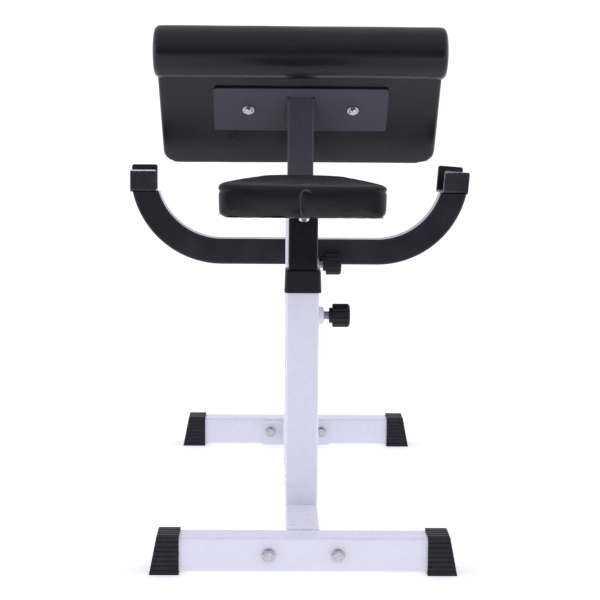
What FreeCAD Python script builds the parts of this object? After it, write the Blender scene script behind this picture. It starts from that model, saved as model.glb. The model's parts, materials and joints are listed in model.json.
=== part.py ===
import FreeCAD, Part
import math
import os

# Preacher curl bench. Millimetres, +Z up, the user sits at -Y and faces +Y.
# The origin is on the floor, midway between the two feet, on the plane of symmetry.

Vector = FreeCAD.Vector
X_AXIS = Vector(1, 0, 0)
Y_AXIS = Vector(0, 1, 0)
Z_AXIS = Vector(0, 0, 1)
ROOT2 = math.sqrt(2)

# --- driving dimensions: tubes and frame ---
TUBE = 50.0                 # white frame tube, outside
TUBE_WALL = 2.0
TUBE_CORNER = 4.0           # outside corner radius
POST = 45.0                 # black sliding posts and bar holder, outside
POST_WALL = 2.0
POST_CORNER = 3.5
FOOT_SPACING = 922.0        # between the centre lines of the two cross feet
FOOT_LENGTH = 412.0         # cross foot tube, without its caps
SOLE = 4.0                  # floor to the underside of the tubes
PLATE = 4.0                 # thickness of every steel plate
JOINT_PLATE_WIDTH = 131.0
JOINT_PLATE_HEIGHT = 48.0
JOINT_PLATE_CORNER = 3.0
JOINT_PLATE_DROP = 2.0         # centre below the centre of the foot tube
FOOT_BOLT_PITCH = 100.0

# --- driving dimensions: uprights ---
SEAT_UPRIGHT_Y = -253.0
PAD_UPRIGHT_Y = 110.0
SEAT_UPRIGHT_TOP = 416.0
PAD_UPRIGHT_TOP = 526.0
SEAT_LOCK_Z = 347.5         # axis of the seat's locking screw
PAD_LOCK_Z = 392.0          # axis of the arm pad's locking screw
HOLE_PITCH = 30.0           # spacing of the locking holes in the posts
HOLE_STEPS = 2              # holes above and below the one in use
POST_TAIL = 130.0           # post below its locking screw, as shown

# --- driving dimensions: barbell holder ---
HOLDER_Z = 411.5            # centre line of the straight run
HOLDER_HALF_RUN = 137.5     # half the straight run
HOLDER_BEND = 139.0         # bend radius on the centre line
HOOK_WIDTH = 45.6
HOOK_BASE_Z = 516.0
HOOK_NEAR_HEIGHT = 39.0
HOOK_REAR_HEIGHT = 47.0
HOOK_BEND = 5.0             # outside radius where the strap turns up
HOOK_REAR_CORNER = 4.0
HOOK_NEAR_CORNER = 3.0

# --- driving dimensions: foot caps ---
CAP_SIZE = 57.0             # height, and depth along Y
CAP_GRIP = 27.0             # length of tube held in the cap
CAP_END_TOP = 5.0           # end wall beyond the tube, at the top
CAP_END_BOTTOM = 16.0       # and at the floor
CAP_RIB_PITCH = 7.0
CAP_GROOVE = 2.2
CAP_GROOVE_DEPTH = 1.1
CAP_TOP_PITCH = 11.4           # the grooves on top are wider apart, and wider
CAP_TOP_GROOVE = 4.0
CAP_EDGE = 2.5

# --- driving dimensions: collars on the uprights ---
COLLAR = 57.0
COLLAR_TOP = 54.5
COLLAR_SKIRT = 31.0         # length that grips the upright
COLLAR_LIP = 4.0            # thickness over the upright's end
COLLAR_HOLE = 45.6
COLLAR_CORNER = 6.0
COLLAR_EDGE = 3.0           # rounding of its upper edge

# --- driving dimensions: locking screws ---
STUD_DIAMETER = 13.84
SCREW_BORE = 14.0
CLEAR_HOLE = 15.0
BOSS_DIAMETER = 27.0
BOSS_LENGTH = 8.0
BOSS_EDGE = 4.0                # rounding of the weld nut's outer end
STUD_SHOWN = 8.0            # bare thread between boss and knob, backed off
KNOB_FLANGE_DIAMETER = 24.0
KNOB_FLANGE = 5.0
KNOB_DIAMETER = 36.4
KNOB_LENGTH = 27.3
KNOB_FLUTES = 12
KNOB_FLUTE_DIAMETER = 5.6
KNOB_FLUTE_OFFSET = 1.2     # centre of a flute beyond the knob's surface
KNOB_NEAR_EDGE = 2.0
KNOB_END_EDGE = 5.0
STUD_IN_KNOB = 18.0
SOCKET_SPARE = 0.5
TIP_GAP = 0.7               # stud tip to post, backed off
PLUG_LIP = 3.0              # plug in the tail of each post
PLUG_DEPTH = 18.0

# --- driving dimensions: seat ---
SEAT_UNDERSIDE = 508.5
SEAT_THICKNESS = 49.0
SEAT_FRONT = -411.0         # y of its near edge
SEAT_DEPTH = 325.0
SEAT_HALF_WIDTH = 124.0
SEAT_CORNER = 16.0
SEAT_TAPER = 0.1675         # how much each side closes in per mm of depth
SEAT_PLATE_LENGTH = 190.0
SEAT_PLATE_WIDTH = 100.0
SEAT_PLATE_CORNER = 8.0
SEAT_BOLT_PITCH = 140.0

# --- driving dimensions: arm pad, along the slope from the centre of its plate ---
PAD_PLANE = 771.4           # y + z on the face of the plate that the post meets
PAD_HALF_WIDTH = 244.0
PAD_LOWER_END = 141.0
PAD_THICKNESS = 50.0
PAD_CORNER = 28.0
PAD_PLATE_WIDTH = 302.0
PAD_PLATE_HEIGHT = 102.0
PAD_PLATE_CORNER = 6.0
PAD_BOLT_PITCH = 182.0
ROLL_DIAMETER = 90.0
ROLL_LENGTH = 502.0
ROLL_EDGE = 10.0
ROLL_S = -113.0
ROLL_N = 25.0

# --- upholstery shared by seat and pad ---
BACKING = 1.0               # black cloth stapled under the board
BOARD = 12.0
BOARD_INSET = 9.0
CUSHION_EDGE = 14.0         # rounding of a cushion on the side that is touched
STAPLED_EDGE = 3.0          # and on the side with the board
TEE_BARREL = 9.0
TEE_CLEARANCE = 0.2
TEE_WALL = 1.0
TEE_FLANGE = 1.5
TEE_FLANGE_DIAMETER = 22.0

# --- fasteners: shank, across flats, head ---
M10 = (10.0, 17.0, 6.4)
M8 = (8.0, 13.0, 5.3)
M10_LENGTH = 70.0
M8_LENGTH = 20.0
M10_WASHER = (20.0, 10.5, 2.0)
M8_WASHER = (20.0, 8.4, 1.6)
M10_NUT = 11.0
M10_HOLE = 11.0
M8_HOLE = 9.0
BEAD = 4.0                  # leg of a fillet weld

HOLDER_Y = PAD_UPRIGHT_Y + TUBE / 2 + POST / 2
HOOK_X = HOLDER_HALF_RUN + HOLDER_BEND
TUBE_Z = SOLE + TUBE / 2
BEAM_TOP = SOLE + TUBE
BEAM_HALF = FOOT_SPACING / 2 - TUBE / 2 - PLATE
TEE_HOLE = M8[0] + TEE_CLEARANCE + 2 * TEE_WALL
PAD_ORIGIN = Vector(0, PAD_UPRIGHT_Y, PAD_PLANE - PAD_UPRIGHT_Y)


# ---------------------------------------------------------------- shape helpers
def save(name, *solids):
    """Write one node: a single solid, or a group of equal loose pieces."""
    shape = solids[0] if len(solids) == 1 else Part.makeCompound(list(solids))
    assert shape.isValid(), name
    shape.exportStep("parts/%s.step" % name)
    print("%-20s %2d solids %9.0f mm3" % (name, len(shape.Solids), shape.Volume))


def block(x0, x1, y0, y1, z0, z1):
    return Part.makeBox(x1 - x0, y1 - y0, z1 - z0, Vector(x0, y0, z0))


def rod(diameter, length, start, axis):
    return Part.makeCylinder(diameter / 2, length, start, axis)


def ring(outer, bore, length, start, axis):
    return rod(outer, length, start, axis).cut(rod(bore, length, start, axis))


def moved(shape, x=0.0, y=0.0, z=0.0):
    copy = shape.copy()
    copy.translate(Vector(x, y, z))
    return copy


def turned(shape, axis, degrees):
    copy = shape.copy()
    copy.rotate(Vector(0, 0, 0), axis, degrees)
    return copy


def mirrored(shape, axis=X_AXIS):
    return shape.mirror(Vector(0, 0, 0), axis)


def along_x(shape):
    """Turn a piece made along Z so that it runs along X."""
    return turned(shape, Y_AXIS, 90)


def along_y(shape):
    """Turn a piece made along Z so that it runs along Y."""
    return turned(shape, X_AXIS, -90)


def on_pad(shape):
    """Place a piece made in the pad's axes: X, Y down the slope, Z away from the post."""
    return moved(turned(shape, X_AXIS, -45), *PAD_ORIGIN)


def rounded_rectangle(width, depth, radius):
    """Face in the XY plane, centred on the origin, width along X."""
    w, d, r = width / 2, depth / 2, radius
    near_corner = r * (1 - 1 / ROOT2)
    arcs = []
    for sx, sy in ((1, -1), (1, 1), (-1, 1), (-1, -1)):
        on_depth_side = Vector(sx * (w - r), sy * d, 0)
        on_width_side = Vector(sx * w, sy * (d - r), 0)
        middle = Vector(sx * (w - near_corner), sy * (d - near_corner), 0)
        ends = (on_depth_side, on_width_side) if sx * sy < 0 else (on_width_side, on_depth_side)
        arcs.append((ends[0], middle, ends[1]))
    edges = []
    for arc, following in zip(arcs, arcs[1:] + arcs[:1]):
        edges.append(Part.Arc(*arc).toShape())
        edges.append(Part.LineSegment(arc[2], following[0]).toShape())
    return Part.Face(Part.Wire(edges))


def tube_section(size, wall, corner):
    inside = size - 2 * wall
    return rounded_rectangle(size, size, corner).cut(rounded_rectangle(inside, inside, corner - wall))


def tube(size, wall, corner, length):
    """Square tube along Z, standing on the origin."""
    return tube_section(size, wall, corner).extrude(Vector(0, 0, length))


def edges_at(shape, z):
    """The edges of a shape that lie wholly in the plane at height z."""
    return [e for e in shape.Edges
            if abs(e.BoundBox.ZMin - z) < 1e-4 and abs(e.BoundBox.ZMax - z) < 1e-4]


def polygon_prism(points, direction):
    return Part.Face(Part.makePolygon(points + points[:1])).extrude(direction)


def bead(length, leg=BEAD):
    """Fillet weld along X, in the corner between the planes y = 0 and z = 0."""
    corners = [Vector(-length / 2, 0, 0), Vector(-length / 2, leg, 0), Vector(-length / 2, 0, leg)]
    return polygon_prism(corners, Vector(length, 0, 0))


# ---------------------------------------------------------------- fasteners
def hexagon(across_flats, height):
    """Hexagonal prism on the origin with the corners of its top turned off."""
    corner = across_flats / math.sqrt(3)
    angles = [math.radians(60 * i) for i in range(6)]
    prism = polygon_prism([Vector(corner * math.cos(a), corner * math.sin(a), 0) for a in angles],
                          Vector(0, 0, height))
    crown = 0.14 * across_flats
    round_top = Part.makeCone(corner, corner - 1.5 * crown, crown, Vector(0, 0, height - crown))
    return prism.common(Part.makeCylinder(corner, height - crown).fuse(round_top))


def bolt(size, length):
    """Hex bolt along Z: head below the origin, shank above it."""
    diameter, across_flats, head = size
    shank = Part.makeCylinder(diameter / 2, length)
    shank = shank.makeChamfer(0.1 * diameter, edges_at(shank, length))
    return mirrored(hexagon(across_flats, head), Z_AXIS).fuse(shank).removeSplitter()


def washer(size):
    outer, bore, thickness = size
    return ring(outer, bore, thickness, Vector(0, 0, 0), Z_AXIS)


def lock_nut(size, height):
    """Nut along Z with its bearing face on the origin and its nylon collar on top."""
    diameter, across_flats = size[:2]
    collar = 0.25 * height
    body = hexagon(across_flats, height - collar)
    top = Part.makeCylinder(0.43 * across_flats, collar, Vector(0, 0, height - collar))
    return body.fuse(top).cut(Part.makeCylinder(diameter / 2, height))


def tee_nut(size):
    """Tee nut along Z: barrel below the origin, flange above it."""
    bore = size[0] + TEE_CLEARANCE
    barrel = ring(bore + 2 * TEE_WALL, bore, TEE_BARREL, Vector(0, 0, -TEE_BARREL), Z_AXIS)
    return barrel.fuse(ring(TEE_FLANGE_DIAMETER, bore, TEE_FLANGE, Vector(0, 0, 0), Z_AXIS))


# ---------------------------------------------------------------- frame
def make_beam():
    save("main_beam", moved(along_y(tube(TUBE, TUBE_WALL, TUBE_CORNER, 2 * BEAM_HALF)),
                            y=-BEAM_HALF, z=TUBE_Z))


def make_joint_plate(name, side):
    """Plate welded on the beam's end; side is -1 at the user's end and +1 at the far end."""
    outline = rounded_rectangle(JOINT_PLATE_WIDTH, JOINT_PLATE_HEIGHT, JOINT_PLATE_CORNER)
    plate = moved(along_y(outline.extrude(Vector(0, 0, PLATE))), y=-PLATE / 2, z=TUBE_Z - JOINT_PLATE_DROP)
    plate = moved(plate, y=side * (BEAM_HALF + PLATE / 2))
    for x in (-FOOT_BOLT_PITCH / 2, FOOT_BOLT_PITCH / 2):
        plate = plate.cut(rod(M10_HOLE, TUBE, Vector(x, side * BEAM_HALF - TUBE / 2, TUBE_Z), Y_AXIS))
    save(name, plate)


def make_foot(name, side):
    y = side * FOOT_SPACING / 2
    foot = moved(along_x(tube(TUBE, TUBE_WALL, TUBE_CORNER, FOOT_LENGTH)), x=-FOOT_LENGTH / 2, y=y, z=TUBE_Z)
    for x in (-FOOT_BOLT_PITCH / 2, FOOT_BOLT_PITCH / 2):
        foot = foot.cut(rod(M10_HOLE, TUBE + 2, Vector(x, y - TUBE / 2 - 1, TUBE_Z), Y_AXIS))
    save(name + "_tube", foot)


def cap_body(inset):
    """Outside of the right-hand cap, smaller by inset on its sides and its end."""
    inner = FOOT_LENGTH / 2 - CAP_GRIP
    outer = FOOT_LENGTH / 2 - inset
    half = CAP_SIZE / 2 - inset
    profile = [Vector(inner, -half, 0), Vector(outer + CAP_END_BOTTOM, -half, 0),
               Vector(outer + CAP_END_TOP, -half, CAP_SIZE), Vector(inner, -half, CAP_SIZE)]
    return polygon_prism(profile, Vector(0, 2 * half, 0))


def make_cap():
    """Right-hand cap with y = 0 on the foot's centre line."""
    inner = FOOT_LENGTH / 2 - CAP_GRIP
    body = cap_body(0)
    soft_edges = [e for e in body.Edges if e.BoundBox.ZMax > 1 and e.BoundBox.XMax > inner + 1]
    cap = body.makeFillet(CAP_EDGE, soft_edges)
    skin = body.cut(cap_body(CAP_GROOVE_DEPTH))
    far = FOOT_LENGTH
    for i in range(1, 8):
        z = CAP_RIB_PITCH * i
        cap = cap.cut(skin.common(block(0, far, -far, far, z - CAP_GROOVE / 2, z + CAP_GROOVE / 2)))
    for i in range(-2, 3):
        y = CAP_TOP_PITCH * i
        cap = cap.cut(block(0, far, y - CAP_TOP_GROOVE / 2, y + CAP_TOP_GROOVE / 2,
                            CAP_SIZE - CAP_GROOVE_DEPTH, CAP_SIZE + 1))
    pocket = rounded_rectangle(TUBE, TUBE, TUBE_CORNER).extrude(Vector(0, 0, CAP_GRIP))
    return cap.cut(moved(along_x(pocket), x=inner, z=TUBE_Z))


def make_caps():
    cap = make_cap()
    for foot, side in (("rear", -1), ("front", 1)):
        y = side * FOOT_SPACING / 2
        save(foot + "_foot_cap_right", moved(cap, y=y))
        save(foot + "_foot_cap_left", moved(mirrored(cap), y=y))


def make_foot_fasteners(name, head_side, y_head, y_nut):
    """Two bolts through a foot and its plate; head_side is the way the bolt heads face along Y."""
    bolts, washers, nuts = [], [], []
    turn = 90 * head_side
    thick = M10_WASHER[2]
    for x in (-FOOT_BOLT_PITCH / 2, FOOT_BOLT_PITCH / 2):
        def place(piece, y):
            return moved(turned(piece, X_AXIS, turn), x=x, y=y, z=TUBE_Z)
        bolts.append(place(bolt(M10, M10_LENGTH), y_head + head_side * thick))
        washers.append(place(washer(M10_WASHER), y_head + head_side * thick))
        washers.append(place(washer(M10_WASHER), y_nut))
        nuts.append(place(lock_nut(M10, M10_NUT), y_nut - head_side * thick))
    save(name + "_bolts", *bolts)
    save(name + "_washers", *washers)
    save(name + "_nuts", *nuts)


def make_upright(name, y, top, lock_z):
    post = moved(tube(TUBE, TUBE_WALL, TUBE_CORNER, top - BEAM_TOP), y=y, z=BEAM_TOP)
    save(name + "_upright", post.cut(rod(CLEAR_HOLE, TUBE, Vector(0, y, lock_z), X_AXIS)))
    boss_start = Vector(TUBE / 2, y, lock_z)
    boss = ring(BOSS_DIAMETER, SCREW_BORE, BOSS_LENGTH, boss_start, X_AXIS)
    rim = [e for e in boss.Edges
           if e.BoundBox.XLength < 1 < e.BoundBox.XMin - TUBE / 2 and e.BoundBox.YLength > BOSS_DIAMETER - 1]
    save(name + "_weld_nut", boss.makeFillet(BOSS_EDGE, rim))


def make_collar(name, y, top):
    height = COLLAR_SKIRT + COLLAR_LIP
    bottom = rounded_rectangle(COLLAR, COLLAR, COLLAR_CORNER).OuterWire
    upper = moved(rounded_rectangle(COLLAR_TOP, COLLAR_TOP, COLLAR_CORNER), z=height).OuterWire
    collar = Part.makeLoft([bottom, upper], True, True)
    collar = collar.makeFillet(COLLAR_EDGE, edges_at(collar, height))
    collar = collar.cut(rounded_rectangle(TUBE, TUBE, TUBE_CORNER).extrude(Vector(0, 0, COLLAR_SKIRT)))
    hole = rounded_rectangle(COLLAR_HOLE, COLLAR_HOLE, POST_CORNER)
    collar = collar.cut(hole.extrude(Vector(0, 0, height)))
    save(name, moved(collar, y=y, z=top - COLLAR_SKIRT))


def make_bar_holder():
    """U-shaped tube: a straight run and a quarter bend each side, cut level under the hooks."""
    section = turned(tube_section(POST, POST_WALL, POST_CORNER), Y_AXIS, 90)
    straight = moved(section, x=-HOLDER_HALF_RUN).extrude(Vector(2 * HOLDER_HALF_RUN, 0, 0))
    bend = moved(section, x=HOLDER_HALF_RUN).revolve(
        Vector(HOLDER_HALF_RUN, 0, HOLDER_BEND), Y_AXIS, -90)
    holder = moved(straight.fuse([bend, mirrored(bend)]).removeSplitter(), y=HOLDER_Y, z=HOLDER_Z)
    reach = 2 * HOOK_X
    save("bar_holder", holder.cut(block(-reach, reach, -reach, reach, HOOK_BASE_Z, 2 * reach)))


def make_hooks():
    """Barbell cradle: a bent strap with a low near wall and a taller rear wall."""
    y0, y1 = HOLDER_Y - POST / 2, HOLDER_Y + POST / 2
    x0, x1 = HOOK_X - HOOK_WIDTH / 2, HOOK_X + HOOK_WIDTH / 2
    near_top, rear_top = HOOK_BASE_Z + HOOK_NEAR_HEIGHT, HOOK_BASE_Z + HOOK_REAR_HEIGHT
    outside = block(x0, x1, y0, y1, HOOK_BASE_Z, rear_top)
    outside = outside.makeFillet(HOOK_BEND, [e for e in edges_at(outside, HOOK_BASE_Z)
                                             if e.BoundBox.XLength > 1])
    outside = outside.makeFillet(HOOK_REAR_CORNER, [e for e in outside.Edges if e.BoundBox.YLength > 1
                                                    and abs(e.BoundBox.ZMin - rear_top) < 1e-4
                                                    and e.BoundBox.XLength < 1e-4])
    cradle = block(x0, x1, y0 + PLATE, y1 - PLATE, HOOK_BASE_Z + PLATE, rear_top)
    cradle = cradle.makeFillet(HOOK_BEND - PLATE, [e for e in edges_at(cradle, HOOK_BASE_Z + PLATE)
                                                   if e.BoundBox.XLength > 1])
    over_near_wall = block(x0, x1, y0, y0 + PLATE, near_top, rear_top)
    hook = outside.cut(cradle).cut(over_near_wall)
    hook = hook.makeFillet(HOOK_NEAR_CORNER, [e for e in hook.Edges if e.BoundBox.YLength > 1
                                              and abs(e.BoundBox.ZMin - near_top) < 1e-4
                                              and e.BoundBox.XLength < 1e-4
                                              and abs(e.BoundBox.YMin - y0) < 1e-4])
    save("bar_hook_right", hook)
    save("bar_hook_left", mirrored(hook))


def make_frame_welds():
    beads = []
    flat = TUBE - 2 * TUBE_CORNER
    for y in (SEAT_UPRIGHT_Y, PAD_UPRIGHT_Y):
        beads.append(moved(bead(flat), y=y + TUBE / 2, z=BEAM_TOP))
        beads.append(moved(mirrored(bead(flat), Y_AXIS), y=y - TUBE / 2, z=BEAM_TOP))
    holder_bead = moved(bead(flat), y=PAD_UPRIGHT_Y + TUBE / 2)
    beads.append(moved(holder_bead, z=HOLDER_Z + POST / 2))
    beads.append(moved(mirrored(holder_bead, Z_AXIS), z=HOLDER_Z - POST / 2))
    upright_bead = turned(bead(flat), Y_AXIS, 90)
    for side in (-1, 1):
        for end in (-1, 1):
            piece = moved(upright_bead, x=TUBE / 2)
            piece = piece if side > 0 else mirrored(piece)
            piece = moved(piece, y=-BEAM_HALF, z=TUBE_Z)
            beads.append(piece if end < 0 else mirrored(piece, Y_AXIS))
    save("frame_welds", *beads)


# ---------------------------------------------------------------- sliding posts
def sliding_post(y, lock_z, top):
    """Square tube with locking holes in its right-hand wall, from its tail up to top."""
    bottom = lock_z - POST_TAIL
    post = moved(tube(POST, POST_WALL, POST_CORNER, top - bottom), y=y, z=bottom)
    for step in range(-HOLE_STEPS, HOLE_STEPS + 1):
        post = post.cut(rod(CLEAR_HOLE, POST, Vector(0, y, lock_z + step * HOLE_PITCH), X_AXIS))
    return post


def make_post_plug(name, y, lock_z):
    """Plastic plug in the tail of a post: a square lip and a body that fits the bore."""
    bore = POST - 2 * POST_WALL
    lip = rounded_rectangle(POST, POST, POST_CORNER).extrude(Vector(0, 0, PLUG_LIP))
    body = rounded_rectangle(bore, bore, POST_CORNER - POST_WALL).extrude(Vector(0, 0, PLUG_DEPTH))
    plug = moved(lip, z=-PLUG_LIP).fuse(body)
    save(name, moved(plug, y=y, z=lock_z - POST_TAIL))


# ---------------------------------------------------------------- seat
def seat_outline(inset):
    """Straight near edge, straight tapering sides and a round far end tangent to them."""
    half, corner = SEAT_HALF_WIDTH, SEAT_CORNER
    slant = math.hypot(1, SEAT_TAPER)
    reach = half + SEAT_TAPER * corner
    nose_y = (slant * SEAT_DEPTH - reach) / (slant - SEAT_TAPER)
    nose_radius = SEAT_DEPTH - nose_y
    bow = corner * (1 - 1 / ROOT2)
    start, side = Vector(half - corner, 0, 0), Vector(half, corner, 0)
    corner_middle = Vector(half - bow, bow, 0)
    shoulder = Vector(nose_radius / slant, nose_y + nose_radius * SEAT_TAPER / slant, 0)
    tip = Vector(0, SEAT_DEPTH, 0)
    edges = [Part.LineSegment(Vector(-start.x, 0, 0), start).toShape(),
             Part.Arc(start, corner_middle, side).toShape(),
             Part.LineSegment(side, shoulder).toShape(),
             Part.Arc(shoulder, tip, Vector(-shoulder.x, shoulder.y, 0)).toShape()]
    edges += [mirrored(edge) for edge in (edges[2], edges[1])]
    outline = Part.Face(Part.Wire(edges))
    return outline.makeOffset2D(-inset) if inset else outline


def seat_layer(inset, bottom, thickness):
    slab = seat_outline(inset).extrude(Vector(0, 0, thickness))
    return moved(slab, y=SEAT_FRONT, z=SEAT_UNDERSIDE + bottom)


def make_seat():
    plate_bottom = SEAT_UNDERSIDE - PLATE
    bolt_points = [Vector(0, SEAT_UPRIGHT_Y + side * SEAT_BOLT_PITCH / 2, 0) for side in (-1, 1)]
    save("seat_post", sliding_post(SEAT_UPRIGHT_Y, SEAT_LOCK_Z, plate_bottom))
    make_post_plug("seat_post_plug", SEAT_UPRIGHT_Y, SEAT_LOCK_Z)

    plate = rounded_rectangle(SEAT_PLATE_WIDTH, SEAT_PLATE_LENGTH, SEAT_PLATE_CORNER)
    plate = moved(plate.extrude(Vector(0, 0, PLATE)), y=SEAT_UPRIGHT_Y, z=plate_bottom)
    backing = seat_layer(BOARD_INSET, 0, BACKING)
    board = seat_layer(BOARD_INSET, BACKING, BOARD)
    hollow = seat_layer(BOARD_INSET, 0, BACKING + BOARD)
    cushion = seat_layer(0, 0, SEAT_THICKNESS)
    cushion = cushion.makeFillet(CUSHION_EDGE, edges_at(cushion, SEAT_UNDERSIDE + SEAT_THICKNESS))
    cushion = cushion.makeFillet(STAPLED_EDGE, edges_at(cushion, SEAT_UNDERSIDE))
    cushion = cushion.cut(hollow)
    board_top = SEAT_UNDERSIDE + BACKING + BOARD
    nuts, bolts, washers = [], [], []
    for point in bolt_points:
        through = rod(M8_HOLE, BACKING + PLATE + 2, point + Vector(0, 0, plate_bottom - 1), Z_AXIS)
        barrel = rod(TEE_HOLE, BOARD, point + Vector(0, 0, board_top - BOARD), Z_AXIS)
        flange = rod(TEE_FLANGE_DIAMETER, TEE_FLANGE, point + Vector(0, 0, board_top), Z_AXIS)
        plate, backing = plate.cut(through), backing.cut(through)
        board, cushion = board.cut(barrel), cushion.cut(flange)
        nuts.append(moved(tee_nut(M8), point.x, point.y, board_top))
        washers.append(moved(washer(M8_WASHER), point.x, point.y, plate_bottom - M8_WASHER[2]))
        bolts.append(moved(bolt(M8, M8_LENGTH), point.x, point.y, plate_bottom - M8_WASHER[2]))
    save("seat_plate", plate)
    save("seat_backing", backing)
    save("seat_board", board)
    save("seat_cushion", cushion)
    save("seat_tee_nuts", *nuts)
    save("seat_washers", *washers)
    save("seat_bolts", *bolts)
    side_bead = turned(bead(POST - 2 * POST_CORNER), X_AXIS, -90)
    seat_bead = moved(side_bead, y=POST / 2)
    beads = [moved(turned(seat_bead, Z_AXIS, 90 * i), y=SEAT_UPRIGHT_Y, z=plate_bottom) for i in range(4)]
    save("seat_welds", *beads)


# ---------------------------------------------------------------- arm pad
def pad_layer(half_width, upper, lower, corner, bottom, thickness):
    """Slab in the pad's axes with its two lower corners rounded."""
    slab = block(-half_width, half_width, upper, lower, bottom, bottom + thickness)
    rounded = [e for e in slab.Edges if e.BoundBox.ZLength > 0.9 * thickness
               and abs(e.BoundBox.YMin - lower) < 1e-4]
    return slab.makeFillet(corner, rounded)


def make_pad():
    post = sliding_post(PAD_UPRIGHT_Y, PAD_LOCK_Z, PAD_ORIGIN.z + POST)
    above_plate = on_pad(block(-POST, POST, -2 * POST, 2 * POST, 0, 3 * POST))
    save("pad_post", post.cut(above_plate))
    make_post_plug("pad_post_plug", PAD_UPRIGHT_Y, PAD_LOCK_Z)

    plate = rounded_rectangle(PAD_PLATE_WIDTH, PAD_PLATE_HEIGHT, PAD_PLATE_CORNER)
    plate = plate.extrude(Vector(0, 0, PLATE))
    inner_half = PAD_HALF_WIDTH - BOARD_INSET
    board_end = PAD_LOWER_END - BOARD_INSET
    board_corner = PAD_CORNER - BOARD_INSET
    roll_radius = ROLL_DIAMETER / 2
    backing_top = ROLL_S + roll_radius + 2
    backing = pad_layer(inner_half, backing_top, board_end, board_corner, PLATE, BACKING)
    board = pad_layer(inner_half, ROLL_S - 6, board_end, board_corner, PLATE + BACKING, BOARD)
    cushion = pad_layer(PAD_HALF_WIDTH, ROLL_S, PAD_LOWER_END, PAD_CORNER, PLATE, PAD_THICKNESS)
    for edge, height in ((CUSHION_EDGE, PLATE + PAD_THICKNESS), (STAPLED_EDGE, PLATE)):
        outside_roll = [e for e in edges_at(cushion, height) if e.BoundBox.YMax > ROLL_S + 1]
        cushion = cushion.makeFillet(edge, outside_roll)
    roll = rod(ROLL_DIAMETER, ROLL_LENGTH, Vector(-ROLL_LENGTH / 2, ROLL_S, ROLL_N), X_AXIS)
    cushion = cushion.cut(roll).cut(backing).cut(board)
    roll = roll.makeFillet(ROLL_EDGE, [e for e in roll.Edges if e.BoundBox.XLength < 1e-4]).cut(board)
    board_top = PLATE + BACKING + BOARD
    nuts, bolts, washers = [], [], []
    for x in (-PAD_BOLT_PITCH / 2, PAD_BOLT_PITCH / 2):
        plate = plate.cut(rod(M8_HOLE, PLATE, Vector(x, 0, 0), Z_AXIS))
        backing = backing.cut(rod(M8_HOLE, BACKING, Vector(x, 0, PLATE), Z_AXIS))
        board = board.cut(rod(TEE_HOLE, BOARD, Vector(x, 0, PLATE + BACKING), Z_AXIS))
        cushion = cushion.cut(rod(TEE_FLANGE_DIAMETER, TEE_FLANGE, Vector(x, 0, board_top), Z_AXIS))
        nuts.append(on_pad(moved(tee_nut(M8), x=x, z=board_top)))
        washers.append(on_pad(moved(washer(M8_WASHER), x=x, z=-M8_WASHER[2])))
        bolts.append(on_pad(moved(bolt(M8, M8_LENGTH), x=x, z=-M8_WASHER[2])))
    save("pad_plate", on_pad(plate))
    save("pad_backing", on_pad(backing))
    save("pad_board", on_pad(board))
    save("pad_cushion", on_pad(cushion))
    save("pad_roll", on_pad(roll))
    save("pad_tee_nuts", *nuts)
    save("pad_washers", *washers)
    save("pad_bolts", *bolts)
    slope_bead = moved(turned(turned(bead(POST), X_AXIS, -90), Z_AXIS, -90), x=POST / 2)
    save("pad_welds", on_pad(slope_bead), on_pad(mirrored(slope_bead)))


# ---------------------------------------------------------------- locking screws
def make_lock(name, y, z):
    """Threaded stud with a fluted knob, backed off so that the post is free."""
    tip = POST / 2 + TIP_GAP
    knob_start = TUBE / 2 + BOSS_LENGTH + STUD_SHOWN
    knob_end = knob_start + KNOB_FLANGE + KNOB_LENGTH
    stud = rod(STUD_DIAMETER, knob_start + STUD_IN_KNOB - tip, Vector(tip, 0, 0), X_AXIS)
    stud = stud.makeChamfer(1, [e for e in stud.Edges if abs(e.BoundBox.XMax - tip) < 1e-4])
    body_start = knob_start + KNOB_FLANGE
    knob = rod(KNOB_DIAMETER, KNOB_LENGTH, Vector(body_start, 0, 0), X_AXIS)
    knob = knob.makeFillet(KNOB_NEAR_EDGE, [e for e in knob.Edges
                                            if abs(e.BoundBox.XMax - body_start) < 1e-4])
    knob = knob.makeFillet(KNOB_END_EDGE, [e for e in knob.Edges if abs(e.BoundBox.XMin - knob_end) < 1e-4])
    flute_radius = KNOB_DIAMETER / 2 + KNOB_FLUTE_OFFSET
    for i in range(KNOB_FLUTES):
        angle = 2 * math.pi * i / KNOB_FLUTES
        start = Vector(body_start - 1, flute_radius * math.cos(angle), flute_radius * math.sin(angle))
        knob = knob.cut(rod(KNOB_FLUTE_DIAMETER, KNOB_LENGTH + 2, start, X_AXIS))
    knob = knob.fuse(rod(KNOB_FLANGE_DIAMETER, KNOB_FLANGE, Vector(knob_start, 0, 0), X_AXIS))
    socket = rod(SCREW_BORE, STUD_IN_KNOB + SOCKET_SPARE, Vector(knob_start, 0, 0), X_AXIS)
    knob = knob.removeSplitter().cut(socket)
    save(name + "_lock_stud", moved(stud, y=y, z=z))
    save(name + "_lock_knob", moved(knob, y=y, z=z))


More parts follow.
